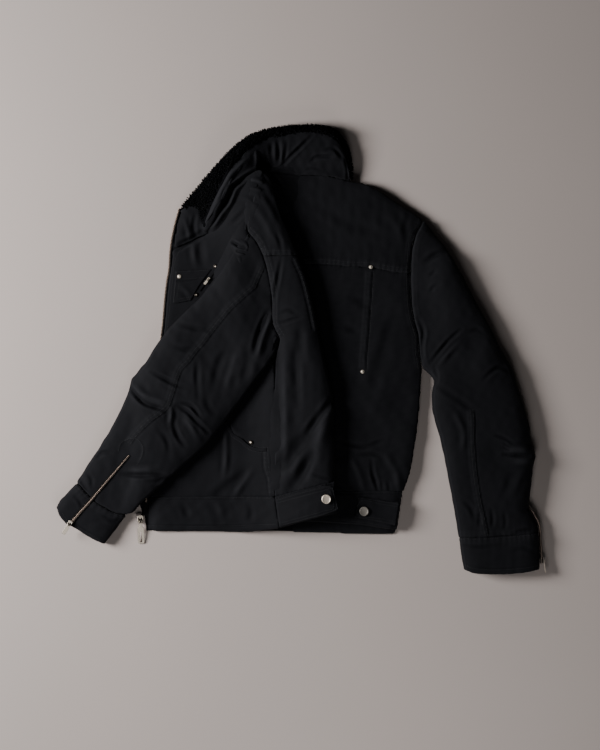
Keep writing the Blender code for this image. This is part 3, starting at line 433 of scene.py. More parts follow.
# ---------------------------------------------------------------- left part of the back, folded over
# The left back panel and yoke turn over on themselves in one high, soft roll with a rounded edge. The
# wadding makes long soft valleys where the roll sinks towards the waist.
ARMHOLE_LEFT = ((-36, 68), (-49, 90), (-50, 115), (-50, 142), (-56, 178), (-65, 212), (-77, 238), (-94, 257))
PLEAT_LEFT = ((-13, 206), (-1, 180), (7, 155), (13, 130), (18, 108), (24, 79))
YOKE_SEAM_LEFT = ((-64, 213.5), (-34, 213.5), (-4, 213.5))
LEFT_BACK = (
    ("back_yoke_left", 1.8, 31, (95, 160, 0.0105), (
        (3.5, -1.6, (-34, 221), (-36, 238), (-43, 254)),
        (5, -1.6, (-68, 333), (-50, 306), (-36, 275)),
        (6, 1.5, (-80, 300), (-60, 270), (-48, 240)),
        (3.5, -1.7, (-94, 346), (-76, 338), (-58, 331)),
        (3, -1.6, (-74, 360), (-65, 353), (-56, 344)),
    ), ((1, 0.9, *YOKE_SEAM_LEFT), (-1, 0.9, *ARMHOLE_LEFT))),
    ("back_left", 2.0, 32, (135, 440, 0.044), (
        (3.2, -2.4, (-34, 207), (-38, 180), (-43, 151), (-45, 133)),
        (2.6, -1.5, (-49, 95), (-31, 94), (-14, 99), (2, 103)),
        (3.5, -1.4, (-34, 110), (-20, 115), (-5, 110)),
        (7, -1.6, (-2, 85), (-2, 59), (2, 34)),
        (7, 1.1, (14, 81), (13, 45), (16, 13)),
        (5, -3.4, (60, -42), (40, -67), (25, -86), (9, -110)),
        (11, -4.2, (11, -106), (-7, -135), (-22, -157), (-36, -173)),
        (8, -5.4, (29, -130), (16, -151), (5, -171), (-4, -187), (-18, -204)),
        (9, 3.4, (52, -63), (38, -106), (22, -157)),
        (8, 1.8, (0, -140), (-18, -164), (-34, -189)),
        (7, 2.4, (-27, 63), (-27, -9), (-25, -99), (-29, -171)),
        (6, -2.6, (-9, 54), (-7, 0), (-5, -54)),
        (6, -1.4, (-27, -128), (-34, -149), (-38, -169)),
        (3, -1.4, (20, -176), (38, -182), (56, -186)),
    ), ((1, 0.7, *YOKE_SEAM_LEFT), (-1, 0.9, *ARMHOLE_LEFT), (1, 1.1, *PLEAT_LEFT))),
)
for node, voxel, seed, cut, creased, seams in LEFT_BACK:
    cloth_piece(node, voxel, seed, CANVAS_BODY, creased, seams, short_waves=0.12)
sew_down(["back_yoke_left_cloth"], ((1, 1, *YOKE_SEAM_LEFT),))
sew_down(["back_yoke_left_cloth", "back_left_cloth"], ((-1, 1, *ARMHOLE_LEFT),))
sew_down(["back_left_cloth"], ((1, 1, *PLEAT_LEFT),), rows=(2.4,))

# ---------------------------------------------------------------- left front
# The left front is thrown open, face up, and climbs onto the roll. A pucker like an eye is drawn in below
# the neck, and the cloth sags into soft folds round the chest pocket and over the hand pocket.
ZIP_EDGE = ((-214, 232), (-227, 205), (-231, 167), (-235, 132), (-239, 95), (-244, 50), (-250, -10),
            (-257, -90), (-264, -185), (-266, -214))
SIDE_SEAM = ((-66, -131), (-64, -167), (-58, -187), (-56, -211), (-55, -217))
LEFT_FRONT_CREASES = (
    (4, -3.2, (-224, 229), (-207, 238), (-191, 243), (-175, 256)),
    (2.6, -1.8, (-221, 223), (-209, 230), (-193, 243)),
    (6, -1.6, (-180, 243), (-178, 216), (-175, 193)),
    (5, 1.4, (-192, 240), (-190, 214), (-186, 196)),
    (6, -1.8, (-122, 218), (-122, 196), (-121, 171), (-115, 153)),
    (4, 1.4, (-110, 212), (-106, 191), (-95, 173), (-85, 164)),
    (6, -1.6, (-160, 153), (-148, 130), (-135, 113)),
    (4.5, 2.2, (-135, -90), (-133, -124), (-133, -157), (-137, -184)),
    (7, -2.0, (-155, -221), (-135, -202), (-113, -187), (-97, -164)),
    (5, 1.7, (-122, -225), (-103, -196), (-86, -171)),
    (4, -1.3, (-95, 297), (-108, 284), (-122, 272)),
    (4, 1.3, (-103, 315), (-86, 308), (-68, 293)),
    # the pucker: a raised ring with two slots pressed into it
    (2.4, 1.8, (-118, 228), (-112, 237), (-101, 238), (-96, 231), (-98, 222), (-107, 217), (-116, 221),
     (-118, 228)),
    (2.0, -4.4, (-116, 231), (-111, 233), (-106, 229)),
    (2.0, -3.8, (-106, 223), (-101, 223), (-97, 220)),
    # the mouth of the hand pocket
    (2.0, -3.2, (-129, -80), (-126, -97), (-119, -108), (-108, -114)),
    (3.5, 1.0, (-121, -92), (-114, -103), (-100, -108)),
)
FRONT_LEFT_SEAMS = ((1, 0.9, *SIDE_SEAM),)
cloth_piece("front_left", 2.1, 41, CANVAS_BODY, LEFT_FRONT_CREASES, FRONT_LEFT_SEAMS,
            long_waves=0.6, short_waves=0.12, keep_above=0.0)
sew_down(["front_left_cloth"], FRONT_LEFT_SEAMS)
sew_down(["front_left_cloth"], ((1, 1, *ZIP_EDGE),), rows=(2.0,))

# ---------------------------------------------------------------- waistband and side tabs
# A double band of canvas sewn to the hem, edge-stitched all round, with a tab at each side seam that
# laps the band and carries a shank button.
CANVAS_BAND = canvas("canvas_band", 90)
BANDS = (  # node, voxel, seed, cut, creases
    ("waistband_front_left", 1.9, 51, (68, 240, 0.0161), (
        (2.2, -1.0, (-272, -222), (-200, -222), (-120, -222), (-50, -221)),
        (2.0, -1.0, (-270, -271), (-180, -271), (-110, -271), (-45, -266)),
        (5, -1.2, (-215, -232), (-206, -244), (-202, -258)),
        (6, 1.1, (-150, -228), (-142, -244), (-138, -262)),
        (5, -1.0, (-92, -230), (-88, -246), (-90, -262)),
    )),
    ("waistband_back_left", 1.6, 52, (62, 115, 0.0070), (
        (2.2, -0.9, (-40, -220), (-20, -215), (18, -205), (60, -194)),
    )),
    ("waistband_back_right", 1.9, 53, (69, 200, 0.0131), (
        (2.0, -0.9, (-8, -213), (60, -212), (120, -212), (185, -211)),
        (2.0, -1.0, (-8, -256), (40, -259), (90, -263), (150, -270)),
        (5, -1.2, (20, -220), (28, -236), (30, -252)),
    )),
    ("tab_left", 1.4, 54, (50, 120, 0.0058), (
        (1.6, -0.5, (-38, -225), (0, -215), (40, -204), (56, -204), (63, -236), (44, -244), (0, -257)),
    )),
    ("tab_right", 1.3, 55, (40, 80, 0.0030), (
        (1.6, -0.5, (172, -232), (150, -229), (109, -222), (101, -253), (146, -260), (168, -265)),
    )),
)
for node, voxel, seed, cut, creased in BANDS:
    cloth_piece(node, voxel, seed, CANVAS_BAND, creased, long_waves=0.5, short_waves=0.25,
                keep_above=0.0, rounds=16, rim_rounds=2)
for piece_name, line in (
    ("waistband_front_left_cloth", ((-270, -221.5), (-149, -221), (-48, -220.5))),
    ("waistband_front_left_cloth", ((-272, -271), (-149, -271.5), (-44, -267))),
    ("waistband_back_left_cloth", ((-41, -220.5), (-20, -214.5), (18, -204.5), (59, -193))),
    ("waistband_back_right_cloth", ((-8, -212), (50, -211.6), (110, -211.3), (184, -211))),
    ("waistband_back_right_cloth", ((-8, -258), (50, -260), (110, -264), (172, -274))),
    ("tab_left_cloth", ((-40, -223.5), (-5, -213), (40, -201.5), (57.5, -202))),
    ("tab_left_cloth", ((58, -202.5), (62, -220), (67, -237.5))),
    ("tab_left_cloth", ((66.5, -238.5), (45, -247), (0, -259.5), (-32, -268.5))),
    ("tab_left_cloth", ((-38, -228), (-5, -218.5), (38, -207), (52, -206.5), (60.5, -235), (43, -242.5),
                        (0, -254.5), (-31, -263.5))),
    ("tab_right_cloth", ((175, -231), (152, -227.5), (126, -223.5), (106.5, -220.5))),
    ("tab_right_cloth", ((106, -221), (103, -237), (99.5, -253.5))),
    ("tab_right_cloth", ((100, -254.5), (122, -258), (147, -262.5), (169, -267.5))),
    ("tab_right_cloth", ((173, -235.5), (150, -232), (111, -225.5), (104.5, -250), (148, -258), (167, -262))),
):
    SEWN.append(([piece_name], curve_through(line)))

# ---------------------------------------------------------------- right sleeve and cuff
# A padded tube lying flat, cut in two pieces with an elbow dart, that ends in a canvas cuff with a zip
# along its outer side. The elbow pushes out in one small peak and the forearm sags into soft creases.
SLEEVE_SEAM_RIGHT = ((311, -62), (313, -85), (313, -121), (317, -172), (324, -219), (333, -261), (338, -286))
CUFF_SEAM_RIGHT = ((286, -292), (328, -291.5), (380, -288), (427, -284))
RIGHT_ARM = (
    ("sleeve_right", 2.2, 61, (400, 590, 0.168), (
        (4.5, -2.0, (223, 202), (241, 214), (265, 223)),
        (3.4, -2.6, (212, 103), (221, 77), (218, 50), (220, 23)),
        (3, -2.8, (234, 22), (254, 47), (270, 65), (288, 81)),
        (4, 1.7, (247, 16), (268, 41), (286, 59)),
        (3.5, -1.4, (302, 76), (317, 81), (328, 76)),
        (3.5, -1.9, (328, -9), (342, 5), (358, 13), (380, 7)),
        (3, -1.6, (241, 13), (245, -4), (241, -18)),
        (5, -1.2, (241, -18), (274, -38), (320, -70)),
        (2.6, -2.0, (350, -108), (364, -112), (380, -121)),
        (1.8, -1.3, (364, -121), (372, -127), (379, -130)),
        (1.8, -1.3, (364, -128), (372, -133), (378, -135)),
        (3, -3.4, (365, -142), (389, -144), (420, -144)),
        (5, 2.4, (374, -133), (396, -133), (420, -135)),
        (5, 2.0, (382, -155), (403, -155), (421, -153)),
        (6, 0.9, (396, -171), (389, -194), (380, -218)),
        (5, -0.7, (378, -171), (371, -196), (360, -220)),
        (3, -1.6, (320, -243), (322, -256), (322, -270)),
        (3, -1.6, (342, -239), (345, -256), (344, -272)),
        (3, -1.2, (366, -246), (368, -262), (366, -276)),
        (3.4, -1.8, (385, -284), (396, -279), (421, -277)),
        (4, -1.4, (292, -225), (306, -239), (313, -257)),
        (5, 1.5, (274, -63), (292, -99), (292, -139)),
        (3, -1.2, (234, 150), (240, 158), (247, 161)),
        (3, -1.2, (232, 178), (238, 182), (243, 188)),
    ), ((-1, 0.9, *SLEEVE_SEAM_RIGHT), (-1, 0.5, *ARMHOLE_RIGHT), (1, 0.6, *CUFF_SEAM_RIGHT))),
    ("cuff_right", 1.7, 62, (90, 310, 0.0265), (
        (3, -1.0, (292, -306), (328, -308), (360, -304)),
        (4, -0.9, (382, -313), (403, -311), (425, -317)),
        (1.8, -0.7, (296, -340), (353, -347), (426, -341)),
    ), ((-1, 0.7, *CUFF_SEAM_RIGHT),)),
)
CANVAS_ARM_RIGHT = canvas("canvas_arm_right", 14)
SKIN_DEPTH = 5.0
SKIN_SHARE = 0.12


def hollow(obj):
    """Gives a padded tube its inside: the same skin, coarser, a wall's depth in and facing inwards.

    The depth is the same everywhere, so where a tube is thin its inner skin can come out through the outer.
    """
    coarse = obj.modifiers.new("coarse", "DECIMATE")
    coarse.ratio = SKIN_SHARE
    inner = bpy.data.meshes.new_from_object(obj.evaluated_get(bpy.context.evaluated_depsgraph_get()))
    obj.modifiers.remove(coarse)
    co = read_vectors(inner.vertices, "co", len(inner.vertices))
    co -= SKIN_DEPTH * MM * read_vectors(inner.vertex_normals, "vector", len(inner.vertices))
    inner.vertices.foreach_set("co", co.ravel().astype(np.float32))
    inner.flip_normals()
    work = bmesh.new()
    work.from_mesh(obj.data)
    work.from_mesh(inner)
    work.to_mesh(obj.data)
    work.free()
    bpy.data.meshes.remove(inner)


for node, voxel, seed, cut, creased, seams in RIGHT_ARM:
    cloth_piece(node, voxel, seed, CANVAS_ARM_RIGHT, creased, seams, long_waves=0.7, short_waves=0.15,
                keep_above=0.0, inside=hollow)
sew_down(["sleeve_right_cloth"], ((-1, 1, *SLEEVE_SEAM_RIGHT),), rows=(FIRST_ROW, 7.0))
sew_down(["cuff_right_cloth"], ((-1, 1, *CUFF_SEAM_RIGHT),), rows=(FIRST_ROW,))
SEWN.append((["cuff_right_cloth"], curve_through(((298, -341), (312, -347), (353, -349), (400, -346),
                                                   (425, -342)))))

# ---------------------------------------------------------------- left sleeve and cuff
# The left sleeve crosses the open front. It is the most creased piece: the elbow is bent and its dart
# draws four sharp folds together, and a long ridge stands up where the underarm is pinched.
SLEEVE_SEAM_LEFT = ((-63, 192), (-76, 162), (-79, 155), (-97, 139), (-121, 117), (-133, 103), (-158, 72),
                    (-169, 57), (-184, 40), (-197, 22), (-212, 5), (-226, -38), (-236, -61), (-266, -85),
                    (-290, -108), (-302, -124))
CUFF_SEAM_LEFT = ((-301, -247), (-315, -250), (-334, -246), (-367, -227), (-384, -209), (-400, -193))
ZIP_PATCH = ((-325, -136), (-322, -124), (-313, -117), (-300, -113), (-288, -118), (-281, -129),
             (-283, -145), (-291, -160))
LEFT_ARM = (
    ("sleeve_left", 2.2, 71, (420, 600, 0.171), (
        (4.2, -3.2, (-56, 115), (-67, 90), (-76, 67), (-81, 41)),
        (5, 3.2, (-50, 106), (-61, 81), (-70, 54), (-76, 31)),
        (7, -2.4, (-94, 45), (-94, 20), (-103, -9)),
        (3.4, -4.6, (-309, -17), (-290, -40), (-275, -52), (-254, -59), (-234, -65)),
        (5, 2.8, (-297, -18), (-277, -36), (-256, -45), (-236, -49)),
        (3.2, -3.0, (-266, 5), (-243, -7), (-220, -18), (-202, -23)),
        (3, -3.0, (-216, -50), (-194, -56), (-178, -76)),
        (3.2, -4.0, (-220, -54), (-200, -67), (-184, -83), (-164, -103)),
        (4, 3.0, (-232, -54), (-230, -70), (-232, -88)),
        (3.6, -3.0, (-227, -81), (-220, -106), (-205, -128)),
        (4.5, 2.2, (-209, -74), (-194, -92), (-182, -113)),
        (4, -1.8, (-184, 27), (-184, -5), (-182, -41)),
        (4, -1.4, (-220, 92), (-187, 83), (-149, 79)),
        (4, -1.4, (-227, 52), (-205, 45), (-185, 49)),
        (3.6, -2.8, (-320, -178), (-290, -180), (-257, -180), (-230, -185)),
        (4.5, 2.0, (-310, -169), (-281, -169), (-252, -167)),
        (3.5, -2.0, (-274, -189), (-252, -189), (-230, -184)),
        (3.5, -1.8, (-367, -149), (-353, -139), (-338, -139)),
        (3.2, -2.0, (-396, -185), (-389, -196), (-380, -209)),
        (3, -1.4, (-382, -176), (-374, -187), (-373, -200)),
        (6, -1.8, (-133, 45), (-148, 13), (-155, -23)),
        (6, 1.8, (-112, 45), (-122, 9), (-133, -27)),
        (4, -1.4, (-252, -99), (-238, -117), (-234, -139)),
        (5, -1.3, (-171, -36), (-162, -59), (-148, -74)),
        (1.7, 0.9, *ZIP_PATCH),
    ), ((-1, 0.9, *SLEEVE_SEAM_LEFT), (-1, 0.7, *ARMHOLE_LEFT))),
    ("cuff_left", 1.7, 72, (70, 280, 0.0186), (
        (3, -1.2, (-407, -214), (-396, -225), (-389, -239)),
        (3.4, -1.1, (-353, -250), (-338, -261), (-320, -261)),
        (1.8, -0.7, (-350, -292), (-378, -281), (-400, -266)),
    ), ((1, 0.7, *CUFF_SEAM_LEFT),)),
)
CANVAS_ARM_LEFT = canvas("canvas_arm_left", -42)
for node, voxel, seed, cut, creased, seams in LEFT_ARM:
    floor_level = 0.0 if node == "cuff_left" else None
    cloth_piece(node, voxel, seed, CANVAS_ARM_LEFT, creased, seams, short_waves=0.22,
                keep_above=floor_level, inside=hollow)
sew_down(["sleeve_left_cloth"], ((-1, 1, *SLEEVE_SEAM_LEFT),), rows=(FIRST_ROW, 7.0))
sew_down(["cuff_left_cloth"], ((1, 1, *CUFF_SEAM_LEFT),), rows=(FIRST_ROW,))
for line in (ZIP_PATCH, ((-425, -248), (-416, -262), (-407, -268)),
             ((-396, -273), (-379, -284), (-357, -297))):
    SEWN.append((["sleeve_left_cloth", "cuff_left_cloth"], curve_through(line)))

# ---------------------------------------------------------------- collar
# Canvas outside and pile inside. It stands up and rolls over on the left, where a knot of folds runs into
# the neck seam, and lies back with its canvas up on the right.
COLLAR_CREASES = (
    (2.8, -2.8, (23, 430), (5, 412), (-16, 392), (-36, 371)),
    (2.8, -2.2, (45, 403), (61, 405), (76, 389)),
    (2.8, -2.2, (20, 383), (32, 391), (59, 391)),
    (2.2, -1.4, (11, 369), (23, 371), (38, 369)),
    (3, 1.3, (-45, 418), (-45, 401), (-45, 385)),
    (3, 1.3, (-32, 423), (-32, 401), (-34, 380)),
    (2.8, -1.6, (-40, 419), (-38, 401), (-38, 382)),
    (2.8, -1.5, (-52, 412), (-52, 394), (-49, 378)),
    (2.6, -1.3, (-23, 418), (-25, 400), (-31, 380)),
    (3, -1.8, (-58, 369), (-43, 367), (-27, 373)),
    (3, -3.4, (-112, 365), (-117, 351), (-121, 337)),
    (4, 2.4, (-90, 391), (-108, 369), (-133, 329), (-158, 283)),
    (4, -3.0, (-74, 401), (-72, 387), (-70, 369)),
    (4, -3.0, (-224, 232), (-205, 240), (-189, 247), (-172, 262)),
    (3.4, 1.4, (-207, 283), (-202, 265), (-198, 243)),
    (3.4, -2.0, (-187, 290), (-191, 268), (-187, 247)),
    (2.6, -1.8, (81, 387), (85, 369), (86, 349)),
)
CANVAS_COLLAR = canvas("canvas_collar", 70)
cloth_piece("collar", 1.8, 81, CANVAS_COLLAR, COLLAR_CREASES, short_waves=0.35, rounds=20)

# ---------------------------------------------------------------- pile of the collar
# Curly pile lines the collar and shows past its canvas: a black knitted ground with short locks of wool
# that lean and curl every way, so its outline is fuzzy and it drinks in nearly all the light.
LOCK_LENGTH = 5.5
LOCK_WIDTH = 2.2
LOCKS_PER_M2 = 230000  # the real pile is finer, and each lock stands for a small clump
LOCK_SEED = 5

wool, tree, shader = new_material("black_wool_pile", Roughness=0.95, Specular_IOR_Level=0.02,
                                  Sheen_Weight=0.015, Sheen_Roughness=0.4)
place = add(tree, "ShaderNodeTexCoord")
tips = add(tree, "ShaderNodeTexNoise", [("Vector", place.outputs["Object"])],
           [("Scale", 1 / (LOCK_WIDTH * MM)), ("Detail", 2.0)])
dyed = add(tree, "ShaderNodeMix", [("Factor", tips.outputs["Fac"])], data_type="RGBA")
dyed.inputs["A"].default_value = linear("#020203")
dyed.inputs["B"].default_value = linear("#0f0f11")
tree.links.new(dyed.outputs["Result"], shader.inputs["Base Color"])
curls = add(tree, "ShaderNodeBump", [("Height", tips.outputs["Fac"])], [("Strength", 0.6), ("Distance", MM)])
tree.links.new(curls.outputs["Normal"], shader.inputs["Normal"])

ground = cloth_wall("collar_pile", 2.0, rounds=16)
crumple(ground, 82, (
    (4, -2.2, (-128, 380), (-140, 352), (-156, 322)), (4, 2.0, (-112, 398), (-128, 366), (-146, 330)),
), long_waves=0.8, short_waves=0.5, keep_above=0.0)
ground.data.materials.clear()
ground.data.materials.append(wool)


def new_tree(name, *inputs):
    """A Geometry Nodes tree with a mesh in and out, and these named inputs."""
    made = bpy.data.node_groups.new(name, "GeometryNodeTree")
    made.interface.new_socket("Geometry", in_out="INPUT", socket_type="NodeSocketGeometry")
    made.interface.new_socket("Geometry", in_out="OUTPUT", socket_type="NodeSocketGeometry")
    for label, kind in inputs:
        made.interface.new_socket(label, in_out="INPUT", socket_type="NodeSocket" + kind)
    return made, made.nodes.new("NodeGroupInput"), made.nodes.new("NodeGroupOutput")


def grown(obj, tree, **inputs):
    """The plain mesh that a tree makes of an object, with its modifier taken off again."""
    modifier = obj.modifiers.new(tree.name, "NODES")
    modifier.node_group = tree
    for item in tree.interface.items_tree:
        if item.in_out == "INPUT" and item.name in inputs:
            modifier[item.identifier] = inputs[item.name]
    bpy.context.view_layer.update()
    mesh = bpy.data.meshes.new_from_object(obj.evaluated_get(bpy.context.evaluated_depsgraph_get()))
    obj.modifiers.remove(modifier)
    return mesh


def new_piece(name, mesh, look=None):
    made = bpy.data.objects.new(name, mesh)
    bpy.context.scene.collection.objects.link(made)
    if look is not None:
        mesh.materials.clear()
        mesh.materials.append(look)
    return made


def lock_of_wool():
    """One curled lock: a tapering tube of four sides that bends over at its tip."""
    work = bmesh.new()
    rings = []
    for t in (0.0, 0.4, 0.75):
        bend = 1.9 * t
        centre = Vector((math.sin(bend) * 0.45, 0, t * (1 - 0.25 * t))) * LOCK_LENGTH
        half = LOCK_WIDTH / 2 * (1 - 0.55 * t)
        ring = [centre + Vector((math.cos(a) * half * math.cos(bend), math.sin(a) * half,
                                 -math.cos(a) * half * math.sin(bend))) for a in (0, 1.57, 3.14, 4.71)]
        rings.append([work.verts.new(p * MM) for p in ring])
    tip = work.verts.new(Vector((0.62, 0, 0.62)) * LOCK_LENGTH * MM)
    for low, high in zip(rings, rings[1:]):
        for k in range(4):
            work.faces.new((low[k], low[(k + 1) % 4], high[(k + 1) % 4], high[k]))
    for k in range(4):
        work.faces.new((rings[-1][k], rings[-1][(k + 1) % 4], tip))
    work.faces.new(list(reversed(rings[0])))
    mesh = bpy.data.meshes.new("lock")
    work.to_mesh(mesh)
    work.free()
    mesh.shade_smooth()
    return bpy.data.objects.new("lock", mesh)


pile_tree, group_in, group_out = new_tree("locks_on_ground", ("Density", "Float"), ("Seed", "Int"),
                                          ("Lock", "Object"), ("Lean", "Float"), ("Wool", "Material"))
facing = add(pile_tree, "GeometryNodeInputNormal")
upward = add(pile_tree, "ShaderNodeSeparateXYZ", [(0, facing.outputs[0])])
bare = add(pile_tree, "GeometryNodeInputNamedAttribute", sockets=[("Name", "bare")], data_type="FLOAT")
open_side = add(pile_tree, "ShaderNodeMath", [(0, upward.outputs["Z"]), (1, bare.outputs["Attribute"])],
                operation="MINIMUM")
showing = add(pile_tree, "FunctionNodeCompare", [(0, open_side.outputs[0])], [(1, -0.1)],
              operation="GREATER_THAN")
roots = add(pile_tree, "GeometryNodeDistributePointsOnFaces",
            [("Mesh", group_in.outputs["Geometry"]), ("Selection", showing.outputs[0]),
             ("Density", group_in.outputs["Density"]), ("Seed", group_in.outputs["Seed"])])
negative = add(pile_tree, "ShaderNodeMath", [(0, group_in.outputs["Lean"])], [(1, -1.0)],
               operation="MULTIPLY")
least = add(pile_tree, "ShaderNodeCombineXYZ", [("X", negative.outputs[0]), ("Y", negative.outputs[0])])
most = add(pile_tree, "ShaderNodeCombineXYZ",
           [("X", group_in.outputs["Lean"]), ("Y", group_in.outputs["Lean"])], [("Z", math.tau)])
lean = add(pile_tree, "FunctionNodeRandomValue",
           [("Min", least.outputs[0]), ("Max", most.outputs[0]), ("Seed", group_in.outputs["Seed"])],
           data_type="FLOAT_VECTOR")
turned = add(pile_tree, "FunctionNodeRotateRotation",
             [("Rotation", roots.outputs["Rotation"]), ("Rotate By", lean.outputs[0])], rotation_space="LOCAL")
SHORTEST, LONGEST = 0.65, 1.2  # of the lock's own size
growth = add(pile_tree, "FunctionNodeRandomValue", [("Seed", group_in.outputs["Seed"])],
             [(2, SHORTEST), (3, LONGEST)], data_type="FLOAT")
lock_shape = add(pile_tree, "GeometryNodeObjectInfo", [("Object", group_in.outputs["Lock"])])
planted = add(pile_tree, "GeometryNodeInstanceOnPoints",
              [("Points", roots.outputs["Points"]), ("Instance", lock_shape.outputs["Geometry"]),
               ("Rotation", turned.outputs[0]), ("Scale", growth.outputs[1])])
real = add(pile_tree, "GeometryNodeRealizeInstances", [(0, planted.outputs[0])])
dressed = add(pile_tree, "GeometryNodeSetMaterial", [("Geometry", real.outputs[0]),
                                                     ("Material", group_in.outputs["Wool"])])
pile_tree.links.new(dressed.outputs[0], group_out.inputs[0])

lock = lock_of_wool()
# the pile is covered where the collar's canvas turns in over it, beyond this line
TURN_OUTSIDE = ((-182, 263), (-169, 286), (-158, 308), (-148, 329), (-137, 351), (-124, 371), (-108, 389),
                (-90, 405), (-72, 416))
co = read_vectors(ground.data.vertices, "co", len(ground.data.vertices)) / MM
off, _, _ = beside(co[:, 0], co[:, 1], curve_through(TURN_OUTSIDE))
bare_at = np.where((off > 1.0) | (co[:, 0] > -60), 1.0, -1.0).astype(np.float32)
ground.data.attributes.new("bare", "FLOAT", "POINT").data.foreach_set("value", bare_at)
locks = new_piece("collar_pile_locks", grown(ground, pile_tree, Density=float(LOCKS_PER_M2), Seed=LOCK_SEED,
                                             Lock=lock, Lean=0.75, Wool=wool))
bpy.data.objects.remove(lock)
for piece in (ground, locks):
    co = read_vectors(piece.data.vertices, "co", len(piece.data.vertices))
    co[:, 2] = np.maximum(co[:, 2], 0.0)
    piece.data.vertices.foreach_set("co", co.ravel().astype(np.float32))
for piece in (ground, locks):
    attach(piece, "jacket")
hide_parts("collar_pile")

# ---------------------------------------------------------------- turns of the canvas on the left
# Where collar, front, roll and sleeve run into one another the canvas goes on from piece to piece: it
# turns in over the pile, comes up on the roll, runs down its side and is drawn over the sleeve head.
cloth_trees = {}
ABOVE_ALL = 0.2  # metres up, from where rays look down on the jacket
LOWEST_CLOTH = 3.5  # a strip over bare floor lies this high, so that its wall and tuck stay above it


def tree_on(name):
    """The search tree of a finished cloth, for rays that ask where its surface is."""
    if name not in cloth_trees:
        cloth_trees[name] = BVHTree.FromObject(bpy.data.objects[name], bpy.context.evaluated_depsgraph_get())
    return cloth_trees[name]


def tops_of(names, xy):
    """Heights in mm of the cloth seen from above at each point, or just over the floor without any."""
    heights = np.full(len(xy), LOWEST_CLOTH)
    for k, (x, y) in enumerate(xy):
        for name in names:
            top = tree_on(name).ray_cast(Vector((x * MM, y * MM, ABOVE_ALL)), Vector((0, 0, -1)))[0]
            if top is not None:
                heights[k] = max(heights[k], top.z / MM)
    return heights


TAUT_WALL = 1.0
EASED_ROUNDS = 12  # the last rounds smooth the strip freely, without holding it over what is below


def taut(name, over, left, right, creased, look, seed, tuck=2.5, across=22, rounds=160):
    """A strip of cloth between two lines, laid taut over the named pieces and tucked in all round."""
    left, right = curve_through(left, 2.0), curve_through(right, 2.0)
    n = max(len(left), len(right))
    s = np.linspace(0, 1, n)
    left, right = (np.column_stack([np.interp(s, np.linspace(0, 1, len(line)), line[:, k]) for k in (0, 1)])
                   for line in (left, right))
    t = np.linspace(0, 1, across)[None, :, None]
    xy = (left[:, None] * (1 - t) + right[:, None] * t).reshape(-1, 2)
    under = tops_of(over, xy).reshape(n, across)
    inside = np.minimum(step(s, 0, 0.12) * (1 - step(s, 0.88, 1)), 1)[:, None] * \
        (step(t[..., 0], 0, 0.2) * (1 - step(t[..., 0], 0.8, 1)))
    base = under + 0.5 - tuck * (1 - inside)
    border = np.full(base.shape, False)
    border[[0, -1]] = border[:, [0, -1]] = True
    z = np.maximum(base, np.median(under))
    z[border] = base[border]
    for turn in range(rounds):
        mean = z.copy()
        mean[1:-1, 1:-1] = (z[:-2, 1:-1] + z[2:, 1:-1] + z[1:-1, :-2] + z[1:-1, 2:]) / 4
        z = np.where(border, z, np.maximum(mean, base) if turn < rounds - EASED_ROUNDS else mean)
    x, y = xy.T
    folds = creases(x, y, creased)
    z = z.ravel() + (folds + slack(x, y, seed, 60, 0.5) + slack(x, y, seed + 50, 17, 0.15)) * inside.ravel()
    faces = [(k * across + j, (k + 1) * across + j, (k + 1) * across + j + 1, k * across + j + 1)
             for k in range(n - 1) for j in range(across - 1)]
    mesh = bpy.data.meshes.new(name)
    mesh.from_pydata((np.column_stack([x, y, z]) * MM).tolist(), [], faces)
    # the tone follows the fold heights: ridges lighter, troughs darker, partly rubbed wear and partly painted
    # shade
    mesh.attributes.new("wear_and_painted_light", "FLOAT", "POINT").data.foreach_set(
        "value", np.clip(0.3 + 0.35 * folds, 0, 1.5).astype(np.float32))
    if mesh.polygons[len(faces) // 2].normal.z < 0:
        mesh.flip_normals()
    mesh.shade_smooth()
    made = new_piece(name, mesh)
    wall = made.modifiers.new("wall", "SOLIDIFY")
    wall.thickness = TAUT_WALL * MM
    wall.offset = -1.0
    finish_cloth(made, look)
    return made


TURN_INSIDE = ((-155, 250), (-135, 272), (-119, 297), (-108, 317), (-97, 335), (-86, 351), (-74, 362),
               (-59, 371), (-49, 383))
NECK_FOLDS = (
    (5.5, 5.0, (-178, 268), (-166, 292), (-153, 313), (-140, 335), (-126, 355), (-108, 373), (-90, 387)),
    (4.2, -13.0, (-171, 259), (-158, 275), (-146, 292), (-133, 308), (-126, 322), (-119, 337)),
    (3.4, -9.0, (-128, 319), (-119, 335), (-104, 347), (-88, 358), (-70, 367)),
    (5.0, -15.0, (-68, 409), (-67, 391), (-67, 374), (-65, 362)),
    (2.6, -2.0, (-155, 293), (-140, 311), (-133, 333)),
    (2.4, -1.6, (-122, 344), (-108, 365), (-94, 382)),
)
taut("collar_turn", ("collar_cloth", "collar_pile_cloth", "front_left_cloth"), TURN_OUTSIDE, TURN_INSIDE,
     NECK_FOLDS, CANVAS_COLLAR, 86)
ROLL_HEAD_LEFT = ((-86, 369), (-92, 347), (-97, 326), (-103, 304), (-104, 283), (-103, 261))
ROLL_HEAD_RIGHT = ((-56, 373), (-58, 349), (-63, 326), (-68, 302), (-76, 279), (-81, 257))
ROLL_NECK_FOLDS = (  # they run from the head of the roll on to its foot
    (3.4, -2.6, (-106, 344), (-90, 341), (-72, 337), (-54, 329), (-38, 315)),
    (4.0, 1.6, (-101, 353), (-85, 349), (-67, 344), (-49, 335)),
)
ROLL_HEAD_FOLDS = (
    *ROLL_NECK_FOLDS,
    (4.5, -1.3, (-101, 315), (-86, 315), (-70, 306)),
)
taut("roll_head", ("front_left_cloth", "back_yoke_left_cloth"), ROLL_HEAD_LEFT, ROLL_HEAD_RIGHT,
     ROLL_HEAD_FOLDS, CANVAS_BODY, 87)
ROLL_FOOT_LEFT = ((-68, 376), (-59, 355), (-52, 333), (-45, 310), (-38, 286))
